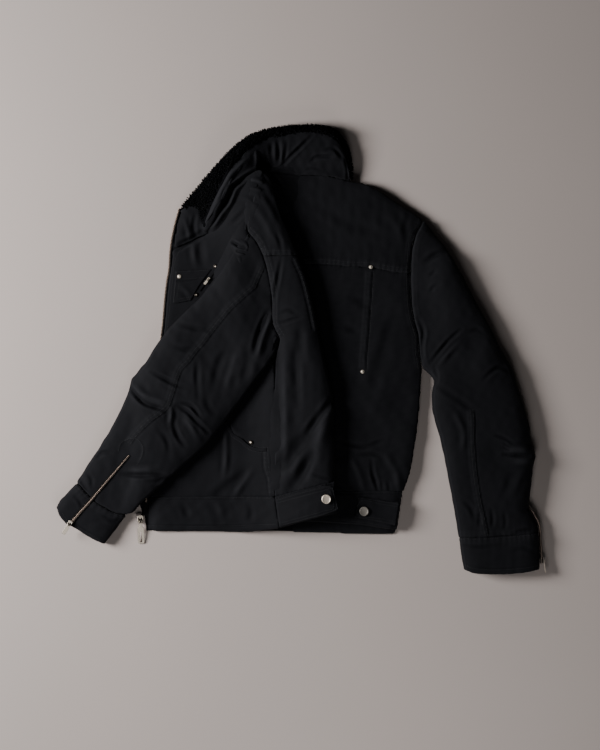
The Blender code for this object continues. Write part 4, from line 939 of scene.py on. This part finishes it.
ROLL_FOOT_RIGHT = ((-4, 382), (7, 356), (5, 331), (-5, 306), (-20, 283))
ROLL_FOOT_FOLDS = (
    (1.6, -1.4, (-54, 364), (-25, 361), (5, 359)),
    *ROLL_NECK_FOLDS,
    (3.0, -1.6, (-58, 365), (-43, 351), (-31, 333)),
)
taut("roll_foot", ("front_left_cloth", "back_yoke_left_cloth", "back_yoke_right_cloth", "collar_cloth"),
     ROLL_FOOT_LEFT, ROLL_FOOT_RIGHT, ROLL_FOOT_FOLDS, CANVAS_BODY, 89)
SIDE_TURN_LEFT = ((-52, -23), (-56, -63), (-58, -117), (-59, -171), (-61, -216))
SIDE_TURN_RIGHT = ((-36, -23), (-34, -63), (-32, -117), (-32, -171), (-32, -216))
taut("side_turn", ("front_left_cloth", "back_left_cloth"), SIDE_TURN_LEFT, SIDE_TURN_RIGHT, (), CANVAS_BODY,
     90, tuck=1.5, across=12)
SLEEVE_HEAD_LEFT = ((-160, 180), (-149, 200), (-139, 220), (-131, 239), (-122, 259), (-108, 281), (-92, 299))
SLEEVE_HEAD_RIGHT = ((-137, 160), (-119, 178), (-101, 196), (-90, 218), (-83, 238), (-79, 257), (-79, 279))
SLEEVE_HEAD_FOLDS = (
    (2.6, 1.2, (-119, 227), (-115, 238), (-104, 239), (-95, 232), (-94, 223), (-103, 218), (-113, 220),
     (-119, 227)),
    (2.6, -7.0, (-121, 238), (-113, 233), (-106, 229), (-99, 227)),
    (2.2, -5.0, (-112, 222), (-103, 220), (-94, 218)),
    (4.0, -1.6, (-121, 218), (-115, 200), (-103, 185)),
    (4.0, 1.2, (-108, 212), (-103, 196), (-92, 182)),
)
taut("sleeve_head_turn", ("front_left_cloth", "sleeve_left_cloth"), SLEEVE_HEAD_LEFT,
     SLEEVE_HEAD_RIGHT, SLEEVE_HEAD_FOLDS, CANVAS_ARM_LEFT, 88)

# ---------------------------------------------------------------- facings that show in the gaps
# The turned-in facing behind the front zip, the neck tape, the cuff's seam allowance and the end of the
# waistband that lies under the left tab: single black canvas, felled flat, seen only as thin dark slivers.
# They fill gaps where the floor would show, and there their black stands in partly for shade: painted shade.
def flat_line(points, z):
    line = curve_through(points, 2.0)
    return np.column_stack([line, np.full(len(line), float(z))]) * MM


def moved_across(points, ups, shift):
    """The same line, shifted to its left across its own surface."""
    at = np.array([tuple(p) for p in points])
    ups = np.array([tuple(u) for u in ups])
    side = np.cross(ups, np.gradient(at, axis=0))
    side /= np.linalg.norm(side, axis=1, keepdims=True)
    return at + side * np.asarray(shift).reshape(-1, 1) * MM


def ribbon_piece(name, points, ups, half_widths, thick, look):
    """A flat ribbon with a wall, from a line on a surface: tape, welt or binding."""
    left, right = (moved_across(points, ups, s * np.asarray(half_widths)) for s in (1, -1))
    rise = np.array([tuple(u) for u in ups]) * thick * MM
    n = len(left)
    verts = np.concatenate([left, right, right + rise, left + rise])
    faces = [(r * n + k, r * n + k + 1, (r + 1) % 4 * n + k + 1, (r + 1) % 4 * n + k)
             for r in range(4) for k in range(n - 1)]
    faces += [tuple(r * n for r in range(4)), tuple(r * n + n - 1 for r in range(3, -1, -1))]
    mesh = bpy.data.meshes.new(name)
    mesh.from_pydata(verts.tolist(), [], faces)
    work = bmesh.new()
    work.from_mesh(mesh)
    bmesh.ops.recalc_face_normals(work, faces=work.faces)
    work.to_mesh(mesh)
    work.free()
    return new_piece(name, mesh, look)


FRONT_EDGE = (  # the left front's edge, from the collar to the waistband
    (-216.5, 299), (-221, 283), (-226.5, 262), (-232.5, 228), (-235, 191), (-239, 167), (-243, 132),
    (-246, 95), (-251, 50), (-254.5, 10), (-258, -20), (-264, -90), (-268, -140), (-272, -185),
    (-275.5, -219),
)
FACING_END = ((-277, -240), (-276, -262), (-274, -280))
# the front strip is widened near its foot to fill a dark gap, partly zip tape and partly painted shade
WIDENED, WIDENED_AT, WIDENED_REACH = 9.0, -230, 17  # wider by this much, near this height
facing_line = flat_line(FRONT_EDGE + FACING_END, 0.6)
widened = WIDENED * np.exp(-((facing_line[:, 1] / MM - WIDENED_AT) / WIDENED_REACH) ** 2)
flat_up = [(0, 0, 1)] * len(facing_line)
facing_line = moved_across(facing_line, flat_up, 3.5 - widened / 2)
FACINGS = (
    ("front_facing", facing_line, 5.5 + widened / 2, CANVAS_BODY, (25, 600, 0.0072)),
    ("neck_tape", flat_line(((-229, 230), (-198, 241), (-164, 261), (-140, 281), (-115, 315), (-94, 346),
                             (-68, 362), (-18, 360), (54, 349)), 3.0),
     7.0, CANVAS_COLLAR, (15, 345, 0.0048)),
    ("cuff_allowance", flat_line(((-401, -196), (-389, -205), (-367, -225), (-328, -245), (-311, -247)), 7.0),
     3.6, CANVAS_ARM_LEFT, (10, 110, 0.0008)),
    ("waistband_end", flat_line(((-79, -272), (-45, -272), (0, -273)), 0.3), 8.5, CANVAS_BAND,
     (19, 80, 0.0014)),
)
FACING_THICK = 1.2
for name, line, half, look, cut in FACINGS:
    piece = ribbon_piece(name, line, [(0, 0, 1)] * len(line), half * np.ones(len(line)), FACING_THICK, look)
    finish_cloth(piece, look)

# ---------------------------------------------------------------- pockets of the left front
# A patch pocket with a turned band at its mouth, cut off on the slant where the sleeve covers it, and the
# curved facing of the hand pocket. Both are single canvas, so they are thin and follow the front.
POCKET_CREASES = (
    (1.6, -0.8, (-227, 170), (-200, 170), (-176, 173)),
    (5, 0.8, (-218, 160), (-206, 152), (-196, 142)),
    (4, -0.7, (-212, 150), (-205, 142), (-200, 134)),
)
for node, voxel, seed, cut, creased in (
    ("pocket_chest", 1.0, 91, (65, 70, 0.0028), POCKET_CREASES),
    ("hand_pocket", 0.6, 92, (10, 95, 0.0007), ()),
):
    cloth_piece(node, voxel, seed, CANVAS_BODY, creased, long_waves=0.25, short_waves=0.12, rounds=8,
                rim_rounds=1)
for line in (
    ((-222, 185.5), (-190, 186.5), (-166, 187.5)), ((-225.5, 172.5), (-200, 172.5), (-173, 175.5)),
    ((-221.5, 184), (-224, 158), (-226, 131.5), (-212, 132.5), (-198, 136)),
    ((-217, 166), (-219.5, 150), (-220.5, 137), (-212, 137.5), (-200, 140)),
):
    SEWN.append((["pocket_chest_cloth"], curve_through(line)))
HAND_POCKET_ROWS = (
    ((-134, -88), (-128, -101), (-121, -112), (-107, -121), (-93, -133), (-76, -138), (-62, -138)),
    ((-131, -81), (-125, -94), (-118.5, -104), (-105, -113.5), (-91, -125), (-75, -130), (-62, -130)),
)
for line in HAND_POCKET_ROWS:
    SEWN.append((["front_left_cloth", "hand_pocket_cloth"], curve_through(line)))

# ---------------------------------------------------------------- top-stitching
# Thick polyester thread in rows of lock stitches, 3.2 mm long, laid on the finished cloth. Each row is a
# line of points dropped onto the cloth below it, and one tree sets a stitch at each step along it.
STITCH_PITCH = 3.2
STITCH_LENGTH = 2.5
STITCH_THICK = 0.75
STITCH_SIDES = 5
STITCH_RINGS = 4

thread, tree, shader = new_material("polyester_thread", Roughness=0.5, Specular_IOR_Level=0.35)
place = add(tree, "ShaderNodeTexCoord")
ply = add(tree, "ShaderNodeTexNoise", [("Vector", place.outputs["Object"])],
          [("Scale", 900.0), ("Detail", 1.0)])
dyed = add(tree, "ShaderNodeMix", [("Factor", ply.outputs["Fac"])], data_type="RGBA")
dyed.inputs["A"].default_value = linear("#151517")
dyed.inputs["B"].default_value = linear("#252528")
tree.links.new(dyed.outputs["Result"], shader.inputs["Base Color"])

row_tree, group_in, group_out = new_tree("row_along_a_line", ("Pitch", "Float"), ("Shape", "Object"),
                                         ("Finish", "Material"))
line = add(row_tree, "GeometryNodeMeshToCurve", [("Mesh", group_in.outputs["Geometry"])])
spots = add(row_tree, "GeometryNodeCurveToPoints",
            [("Curve", line.outputs[0]), ("Length", group_in.outputs["Pitch"])], mode="LENGTH")
up = add(row_tree, "GeometryNodeInputNamedAttribute", sockets=[("Name", "up")], data_type="FLOAT_VECTOR")
wide = add(row_tree, "GeometryNodeInputNamedAttribute", sockets=[("Name", "wide")], data_type="FLOAT")
ahead = add(row_tree, "FunctionNodeAlignRotationToVector", [("Vector", spots.outputs["Tangent"])], axis="X")
upright = add(row_tree, "FunctionNodeAlignRotationToVector",
              [("Rotation", ahead.outputs[0]), ("Vector", up.outputs["Attribute"])], axis="Z", pivot_axis="X")
sized = add(row_tree, "ShaderNodeCombineXYZ", [("Y", wide.outputs["Attribute"])], [("X", 1.0), ("Z", 1.0)])
shape = add(row_tree, "GeometryNodeObjectInfo", [("Object", group_in.outputs["Shape"])])
placed = add(row_tree, "GeometryNodeInstanceOnPoints",
             [("Points", spots.outputs["Points"]), ("Instance", shape.outputs["Geometry"]),
              ("Rotation", upright.outputs[0]), ("Scale", sized.outputs[0])])
real = add(row_tree, "GeometryNodeRealizeInstances", [(0, placed.outputs[0])])
dressed = add(row_tree, "GeometryNodeSetMaterial", [("Geometry", real.outputs[0]),
                                                    ("Material", group_in.outputs["Finish"])])
row_tree.links.new(dressed.outputs[0], group_out.inputs[0])


def lines_mesh(name, lines):
    """A mesh of lines for the tree: each is its points in metres, with which way is up and how wide."""
    mesh = bpy.data.meshes.new(name)
    points, edges, ups, widths = [], [], [], []
    for at, up_there, wide_there in lines:
        base = len(points)
        points += [tuple(p) for p in at]
        edges += [(base + k, base + k + 1) for k in range(len(at) - 1)]
        ups += [tuple(u) for u in up_there]
        widths += list(wide_there)
    mesh.from_pydata(points, edges, [])
    upright = mesh.attributes.new("up", "FLOAT_VECTOR", "POINT")
    upright.data.foreach_set("vector", np.ravel(ups).astype(np.float32))
    mesh.attributes.new("wide", "FLOAT", "POINT").data.foreach_set("value", np.array(widths, np.float32))
    return bpy.data.objects.new(name, mesh)


def rows_of(name, lines, pitch, shape, look):
    """Sets the shape along these lines and keeps the result as one plain piece."""
    source = lines_mesh(name + "_lines", lines)
    bpy.context.scene.collection.objects.link(source)
    made = new_piece(name, grown(source, row_tree, Pitch=pitch * MM, Shape=shape, Finish=look))
    bpy.data.objects.remove(source)
    bpy.data.objects.remove(shape)
    made.data.shade_smooth()
    return made


def on_cloth(trees, line, lift=0.0):
    """Stretches of a line (mm) dropped onto the cloth: points in metres and the cloth's normals."""
    stretches, points, ups = [], [], []
    for x, y in line:
        best = None
        for tree_of_piece in trees:
            hit = tree_of_piece.ray_cast(Vector((x * MM, y * MM, ABOVE_ALL)), Vector((0, 0, -1)))
            if hit[0] is not None and hit[1].z > 0.15 and (best is None or hit[0].z > best[0].z):
                best = hit
        if best is None or (points and abs(best[0].z - points[-1].z) > 5 * MM):
            if len(points) > 1:
                stretches.append((points, ups))
            points, ups = [], []
        if best is not None:
            points.append(best[0] + best[1] * lift * MM)
            ups.append(best[1])
    if len(points) > 1:
        stretches.append((points, ups))
    return stretches


def one_stitch():
    work = bmesh.new()
    bmesh.ops.create_uvsphere(work, u_segments=STITCH_SIDES, v_segments=STITCH_RINGS, radius=0.5 * MM)
    for vert in work.verts:
        x, y, z = vert.co
        vert.co = (z * STITCH_LENGTH, y * STITCH_THICK, x * STITCH_THICK)
    bmesh.ops.recalc_face_normals(work, faces=work.faces)
    mesh = bpy.data.meshes.new("stitch")
    work.to_mesh(mesh)
    work.free()
    return bpy.data.objects.new("stitch", mesh)


stitch_lines = []
for pieces, line in SEWN:
    for points, ups in on_cloth([tree_on(name) for name in pieces], curve_through(line, 2.5), 0.1):
        stitch_lines.append((points, ups, [1.0] * len(points)))
stitches = rows_of("top_stitching", stitch_lines, STITCH_PITCH, one_stitch(), thread)
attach(stitches, "jacket")

# ---------------------------------------------------------------- zips
# Moulded metal zips on black woven tape: one open side along the front's edge, and a closed one on each
# cuff. Nickel-plated brass teeth of one shape, clamped on the tape's cord at even steps.
TOOTH_PITCH = 2.5


def plated(name, tone, roughness):
    """Nickel plate: warm grey metal, satin from tumbling, with fine scratches that break its highlights."""
    made, tree, shader = new_material(name, Metallic=1.0)
    place = add(tree, "ShaderNodeTexCoord")
    stretched = add(tree, "ShaderNodeMapping", [("Vector", place.outputs["Object"])],
                    [("Scale", (1.0, 5.0, 1.0)), ("Rotation", (0, 0, 0.5))])
    scratch = add(tree, "ShaderNodeTexNoise", [("Vector", stretched.outputs["Vector"])],
                  [("Scale", 700.0), ("Detail", 3.0)])
    stain = add(tree, "ShaderNodeTexNoise", [("Vector", place.outputs["Object"])],
                [("Scale", 160.0), ("Detail", 2.0)])
    tint = add(tree, "ShaderNodeMix", [("Factor", stain.outputs["Fac"])], data_type="RGBA")
    tint.inputs["A"].default_value = linear(tone)
    tint.inputs["B"].default_value = tuple(0.75 * c for c in linear(tone)[:3]) + (1.0,)
    tree.links.new(tint.outputs["Result"], shader.inputs["Base Color"])
    gloss = add(tree, "ShaderNodeMapRange", [("Value", scratch.outputs["Fac"])],
                [("To Min", roughness - 0.06), ("To Max", roughness + 0.08)])
    tree.links.new(gloss.outputs["Result"], shader.inputs["Roughness"])
    lines = add(tree, "ShaderNodeBump", [("Height", scratch.outputs["Fac"])],
                [("Strength", 0.12), ("Distance", 0.1 * MM)])
    tree.links.new(lines.outputs["Normal"], shader.inputs["Normal"])
    return made


NICKEL = plated("nickel_plate", "#fbeedd", 0.5)
WORN = plated("worn_nickel", "#a39d95", 0.55)
# dark nickel used as painted shade: the shadow ring round rivets and buttons, the shaded sides and soles of
# sliders and pulls, and the far row of the cuff's teeth
NICKEL_PAINTED_SHADE = plated("tarnished_nickel", "#332e2b", 0.4)
TEETH = plated("nickel_teeth", "#c9b3a4", 0.46)

tape, tree, shader = new_material("zip_tape", Roughness=0.8, Specular_IOR_Level=0.08)
place = add(tree, "ShaderNodeTexCoord")
twill = add(tree, "ShaderNodeTexVoronoi", [("Vector", place.outputs["Object"])], [("Scale", 900.0)])
dyed = add(tree, "ShaderNodeMix", [("Factor", twill.outputs["Distance"])], data_type="RGBA")
dyed.inputs["A"].default_value = linear("#1a1a1c")
dyed.inputs["B"].default_value = linear("#0b0b0c")
tree.links.new(dyed.outputs["Result"], shader.inputs["Base Color"])
woven = add(tree, "ShaderNodeBump", [("Height", twill.outputs["Distance"])],
            [("Strength", 0.4), ("Distance", 0.2 * MM)])
tree.links.new(woven.outputs["Normal"], shader.inputs["Normal"])


def one_tooth(name, along, across, high):
    """A clamped tooth: a block with its top edges cut and a nib at its free end."""
    work = bmesh.new()
    bmesh.ops.create_cube(work, size=1.0)
    top_edges = [e for e in work.edges if all(v.co.z > 0 for v in e.verts)]
    bmesh.ops.bevel(work, geom=top_edges, offset=0.22, segments=1, affect="EDGES")
    for vert in work.verts:
        narrow = 1 - 0.35 * max(vert.co.y, 0) * 2
        vert.co = Vector((vert.co.x * along * narrow, vert.co.y * across, (vert.co.z + 0.5) * high)) * MM
    mesh = bpy.data.meshes.new(name)
    work.to_mesh(mesh)
    work.free()
    return bpy.data.objects.new(name, mesh)


FRONT_ZIP_END = ((-279, -240), (-285, -256), (-286, -262))
LAST_TOOTH = -228.0  # the row of teeth stops here, above the slider, and only the tape goes on
front_line = flat_line(FRONT_EDGE + FRONT_ZIP_END, 2.0)
front_up = [(0, 0, 1)] * len(front_line)
front_tape = ribbon_piece("front_zip_tape", front_line, front_up, [2.2] * len(front_line), 1.0, tape)
tooth_line = moved_across(front_line, front_up, [-0.6] * len(front_line)) + np.array([0, 0, 0.8 * MM])
tooth_line = tooth_line[tooth_line[:, 1] > LAST_TOOTH * MM]
front_teeth = rows_of("front_zip_teeth", [(tooth_line, front_up[:len(tooth_line)], [1.0] * len(tooth_line))],
                      TOOTH_PITCH, one_tooth("tooth_front", 1.4, 3.6, 1.9), TEETH)

CUFF_ZIP_LEFT = (
    (-307, -144), (-330, -171), (-350, -194), (-365, -212), (-377, -226), (-390, -240), (-412, -265),
)
cuff_stretches = on_cloth([tree_on("sleeve_left_cloth"), tree_on("cuff_left_cloth")],
                          curve_through(CUFF_ZIP_LEFT, 4.0), 0.9)
cuff_points = np.array([tuple(p) for points, _ in cuff_stretches for p in points])
for _ in range(6):
    cuff_points[1:-1] = (cuff_points[:-2] + 2 * cuff_points[1:-1] + cuff_points[2:]) / 4
cuff_up = [(0, 0, 1)] * len(cuff_points)
spread = np.linspace(2.2, 4.0, len(cuff_points))
cuff_tape = ribbon_piece("cuff_zip_tape_left", cuff_points, cuff_up, spread + 0.4, 0.5, tape)
lifted = np.array([0, 0, 0.3 * MM])
lit_row = moved_across(cuff_points, cuff_up, spread * 0.35) + lifted
far_row = moved_across(cuff_points, cuff_up, spread * -0.45) + lifted
far_row = far_row + (far_row[1] - far_row[0]) / np.linalg.norm(far_row[1] - far_row[0]) * TOOTH_PITCH / 2 * MM
cuff_teeth = rows_of("cuff_zip_teeth_left", [(lit_row, cuff_up, spread / 2.2)], TOOTH_PITCH,
                     one_tooth("tooth_cuff", 1.5, 2.2, 1.3), TEETH)
# the far row wears the dark nickel, painted shade for the teeth on the shaded side
cuff_teeth_far = rows_of("cuff_zip_teeth_left_far", [(far_row, cuff_up, spread / 2.2)], TOOTH_PITCH,
                         one_tooth("tooth_far", 1.5, 1.6, 1.0), NICKEL_PAINTED_SHADE)

# the right cuff's zip runs up the sleeve's outer side, so its teeth face sideways
CUFF_ZIP_RIGHT = ((411, -238), (419.2, -251), (428.0, -270), (429.5, -290), (431.2, -312), (432, -338))
side_line = flat_line(CUFF_ZIP_RIGHT, 12.4)
run = np.gradient(side_line, axis=0)
outward = np.column_stack([-run[:, 1], run[:, 0], np.zeros(len(run))])
outward /= np.linalg.norm(outward, axis=1, keepdims=True)
side_line = side_line - outward * 0.1 * MM
side_tape = ribbon_piece("cuff_zip_tape_right", side_line, outward, [3.1] * len(side_line), 0.8, tape)
side_rows = []
for side in (1, -1):
    row = moved_across(side_line, outward, [1.5 * side] * len(side_line)) + outward * 0.6 * MM
    if side < 0:
        row = row + (row[1] - row[0]) / np.linalg.norm(row[1] - row[0]) * TOOTH_PITCH / 2 * MM
    side_rows.append((row, outward, [1.0] * len(row)))
side_teeth = rows_of("cuff_zip_teeth_right", side_rows, TOOTH_PITCH,
                     one_tooth("tooth_side", 1.5, 3.2, 1.6), TEETH)

# the chest zip is a fine black coil on its tape
COIL_PITCH = 1.3
CHEST_ZIP = ((-180, 151), (-171, 163), (-160, 177), (-147.5, 190), (-135, 205))
chest_points, chest_up = on_cloth([tree_on("front_left_cloth"), tree_on("pocket_chest_cloth")],
                                  curve_through(CHEST_ZIP, 4.0), 0.3)[0]
chest_tape = ribbon_piece("chest_zip_tape", chest_points, chest_up, [1.6] * len(chest_points), 0.6, tape)
chest_coil = rows_of("chest_zip_coil", [(moved_across(chest_points, chest_up, [0.0] * len(chest_points))
                                         + np.array([0, 0, 0.5 * MM]), chest_up, [1.0] * len(chest_points))],
                     COIL_PITCH, one_tooth("coil_turn", 0.8, 2.0, 0.8), tape)
for piece, nodes, slot in (
    (front_tape, (), "canvas"), (front_teeth, ("front_zip",), "nickel"),
    (cuff_tape, (), "canvas"), (cuff_teeth, ("cuff_zip_left",), "nickel"),
    (side_tape, (), "canvas"), (cuff_teeth_far, (), "nickel"), (side_teeth, ("cuff_zip_right",), "nickel"),
    (chest_tape, ("chest_zip",), "canvas"), (chest_coil, (), "nickel"),
):
    if nodes:
        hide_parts(*nodes)
    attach(piece, "jacket")

# ---------------------------------------------------------------- rivets and shank buttons
# Domed rivets at the ends of the pleat, the chest zip and the pockets, and one dished shank button with a
# rolled rim on each tab: pressed brass, nickel-plated, set through the cloth on a post.
FITTINGS = ("rivet_chest_band", "rivet_chest_zip_top", "rivet_chest_zip_low", "rivet_hand_pocket",
            "rivet_pleat_top", "rivet_pleat_low", "button_left", "button_right")
BRIGHT_WITHIN = {"rivet_chest_zip_top": 1.0, "rivet_chest_zip_low": 1.2, "rivet_hand_pocket": 1.9,
                 "button_left": 9.0, "button_right": 9.0}
BRIGHT_RIVET = 2.7
for node in FITTINGS:
    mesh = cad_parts[node].data.copy()
    work = bmesh.new()
    work.from_mesh(mesh)
    bmesh.ops.remove_doubles(work, verts=work.verts, dist=SAME_POINT * MM)
    bmesh.ops.dissolve_limit(work, verts=work.verts, edges=work.edges, angle_limit=math.radians(2))
    work.to_mesh(mesh)
    work.free()
    piece = new_piece(node + "_pressed", mesh, WORN if node == "button_right" else NICKEL)
    mesh.materials.append(NICKEL_PAINTED_SHADE)
    # the flange takes the dark nickel as a painted shadow ring round the fitting, and on the small ones only a
    # small top stays bright
    middle = np.mean([tuple(v.co) for v in mesh.vertices], axis=0)
    bright = BRIGHT_WITHIN.get(node, BRIGHT_RIVET) * MM
    for face in mesh.polygons:
        face.material_index = int((face.center - Vector(middle)).xy.length > bright)
    rounded = piece.modifiers.new("rounded", "BEVEL")
    rounded.width = (0.35 if node.startswith("button") else 0.2) * MM
    rounded.segments = 3
    rounded.limit_method = "ANGLE"
    rounded.angle_limit = math.radians(12)
    mesh.shade_smooth()
    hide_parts(node)
    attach(piece, "jacket")

# ---------------------------------------------------------------- sliders and pulls
# Die-cast sliders with a bridge that holds a flat pull by its bar. The long front pull has a slot that
# leaves two prongs, and the cuff pulls are plain plates. Each pull rides its own hinge.
SLIDER_OUTLINE = ((-3.4, -4.4), (3.4, -4.4), (5.2, -1.0), (5.6, 4.0), (5.2, 8.2), (3.6, 10.0), (-3.6, 10.0),
                  (-5.2, 8.2), (-5.6, 4.0), (-5.2, -1.0))
SLIDER_WINDOWS = (((-3.9, -1.0), (-1.5, -1.0), (-1.5, 5.6), (-3.2, 5.6)),
                  ((3.9, -1.0), (1.5, -1.0), (1.5, 5.6), (3.2, 5.6)))
SLIDER_FLOOR, SLIDER_ROOF = -4.7, -1.7
BRIDGE = ((-3.6, -1.9), (-3.6, 1.2), (-2.6, 2.4), (-0.2, 2.8), (2.4, 2.4), (3.4, 1.2), (3.4, -1.9),
          (1.9, -1.9), (1.9, 0.9), (1.2, 1.4), (-1.2, 1.4), (-2.1, 0.9), (-2.1, -1.9))
PULL_THICK = 1.4
LONG_PULL = 30  # a pull longer than this has the slot, and its own outline
ZIP_PULLS = (  # name, hinge, heading and droop in degrees, size, length of the pull
    ("front", (-287.0, -262.0, 9.4), -88, 10.5, 1.0, 42),
    ("cuff_left", (-413.5, -267.5, 27.084), -122, 12, 0.72, 21),
    ("cuff_right", (438.0, -334.0, 11.2), -82, 0, 0.72, 21),
    ("chest", (-165.0, 171.5, 13.224), -127, 3, 0.42, 11),
)


def frame_at(point, towards, outside):
    """A frame whose -y runs along the pull and whose +z faces out."""
    y = -towards.normalized()
    x = y.cross(outside).normalized()
    turn = Matrix((x, y, x.cross(y))).transposed().to_4x4()
    return Matrix.Translation(point * MM) @ turn


def cut_plate(name, outlines, low, high, rounding, place, painted_shade_all=False, dark_edge=True):
    """A flat plate with rounded edges, filled from outlines with its holes, and set in its frame."""
    curve = bpy.data.curves.new(name, "CURVE")
    curve.dimensions = "2D"
    curve.fill_mode = "BOTH"
    curve.bevel_depth = rounding * MM
    curve.bevel_resolution = 2
    curve.extrude = ((high - low) / 2 - rounding) * MM
    curve.offset = -rounding * MM
    for points in outlines:
        spline = curve.splines.new("POLY")
        spline.points.add(len(points) - 1)
        for point, (x, y) in zip(spline.points, points):
            point.co = (x * MM, y * MM, 0, 1)
        spline.use_cyclic_u = True
    source = bpy.data.objects.new(name, curve)
    bpy.context.scene.collection.objects.link(source)
    mesh = bpy.data.meshes.new_from_object(source.evaluated_get(bpy.context.evaluated_depsgraph_get()))
    bpy.data.objects.remove(source)
    mesh.materials.clear()
    for face in mesh.polygons:
        # faces that do not look up or down take the dark nickel as painted shade on the edges; a plate marked
        # for it is shaded all over
        face.material_index = int(painted_shade_all or (dark_edge and abs(face.normal.z) < 0.85))
    mesh.transform(place @ Matrix.Translation((0, 0, (low + high) / 2 * MM)))
    work = bmesh.new()
    work.from_mesh(mesh)
    bmesh.ops.remove_doubles(work, verts=work.verts, dist=0.005 * MM)
    bmesh.ops.recalc_face_normals(work, faces=work.faces)
    work.to_mesh(mesh)
    work.free()
    return mesh


def rectangle(half, near, far, corner):
    c = corner
    return [(-half + c, -near), (half - c, -near), (half, -near - c), (half, -far + c),
            (half - c, -far), (-half + c, -far), (-half, -far + c), (-half, -near - c)]


def joined(name, meshes):
    work = bmesh.new()
    for mesh in meshes:
        work.from_mesh(mesh)
    whole = bpy.data.meshes.new(name)
    work.to_mesh(whole)
    work.free()
    whole.materials.append(NICKEL)
    whole.materials.append(NICKEL_PAINTED_SHADE)
    whole.shade_flat()
    return new_piece(name, whole)


for name, point, heading, droop, scale, length in ZIP_PULLS:
    flat = Vector((math.cos(math.radians(heading)), math.sin(math.radians(heading)), 0))
    outside = Vector((-flat.y, flat.x, 0)) if name == "cuff_right" else Vector((0, 0, 1))
    upright = frame_at(Vector(point), flat, outside) @ Matrix.Scale(scale, 4)
    plate = cut_plate("plate", [SLIDER_OUTLINE, *SLIDER_WINDOWS], SLIDER_FLOOR + 1, SLIDER_ROOF, 0.6, upright)
    # the sole is all dark nickel, painted shade under the slider
    sole = cut_plate("sole", [SLIDER_OUTLINE], SLIDER_FLOOR, SLIDER_FLOOR + 0.9, 0.2, upright, painted_shade_all=True)
    # the bridge is drawn from its side and stood on the plate
    on_edge = upright @ Matrix(((0, 0, 1, 0), (1, 0, 0, 0), (0, 1, 0, 0), (0, 0, 0, 1)))
    bridge = cut_plate("bridge", [BRIDGE], -1.1, 1.1, 0.3, on_edge)
    slider = joined(f"slider_{name}_cast", [plate, sole, bridge])
    drop = math.radians(droop)
    lying = frame_at(Vector(point), flat * math.cos(drop) - outside * math.sin(drop), outside)
    end = -length / scale
    long = length > LONG_PULL
    neck = 2.9 if long else 3.2
    wide = 5.8 if long else 5.0
    right = [(neck, 0.75), (neck, -4.5), (neck, -9), (wide, -13), (wide, end + 2), (wide - 1.6, end)]
    if not long:
        right = [(neck, 0.75), (neck, -4.5), (wide, -8), (wide, end + 2), (wide - 1.6, end)]
    outlines = [right + [(-x, y) for x, y in reversed(right)], rectangle(2.0, 0.75, 5.2, 0.5)]
    if long:
        outlines.append(rectangle(1.7, 20, length - 2.5, 1.0))
    pull = joined(f"pull_{name}_plate", [cut_plate("pull", outlines, -PULL_THICK / 2, PULL_THICK / 2, 0.6,
                                                    lying @ Matrix.Scale(scale, 4),
                                                    dark_edge=name != "cuff_right")])
    for piece, node, body in ((slider, f"slider_{name}", "jacket"), (pull, f"pull_{name}", f"pull_{name}")):
        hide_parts(node)
        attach(piece, body)
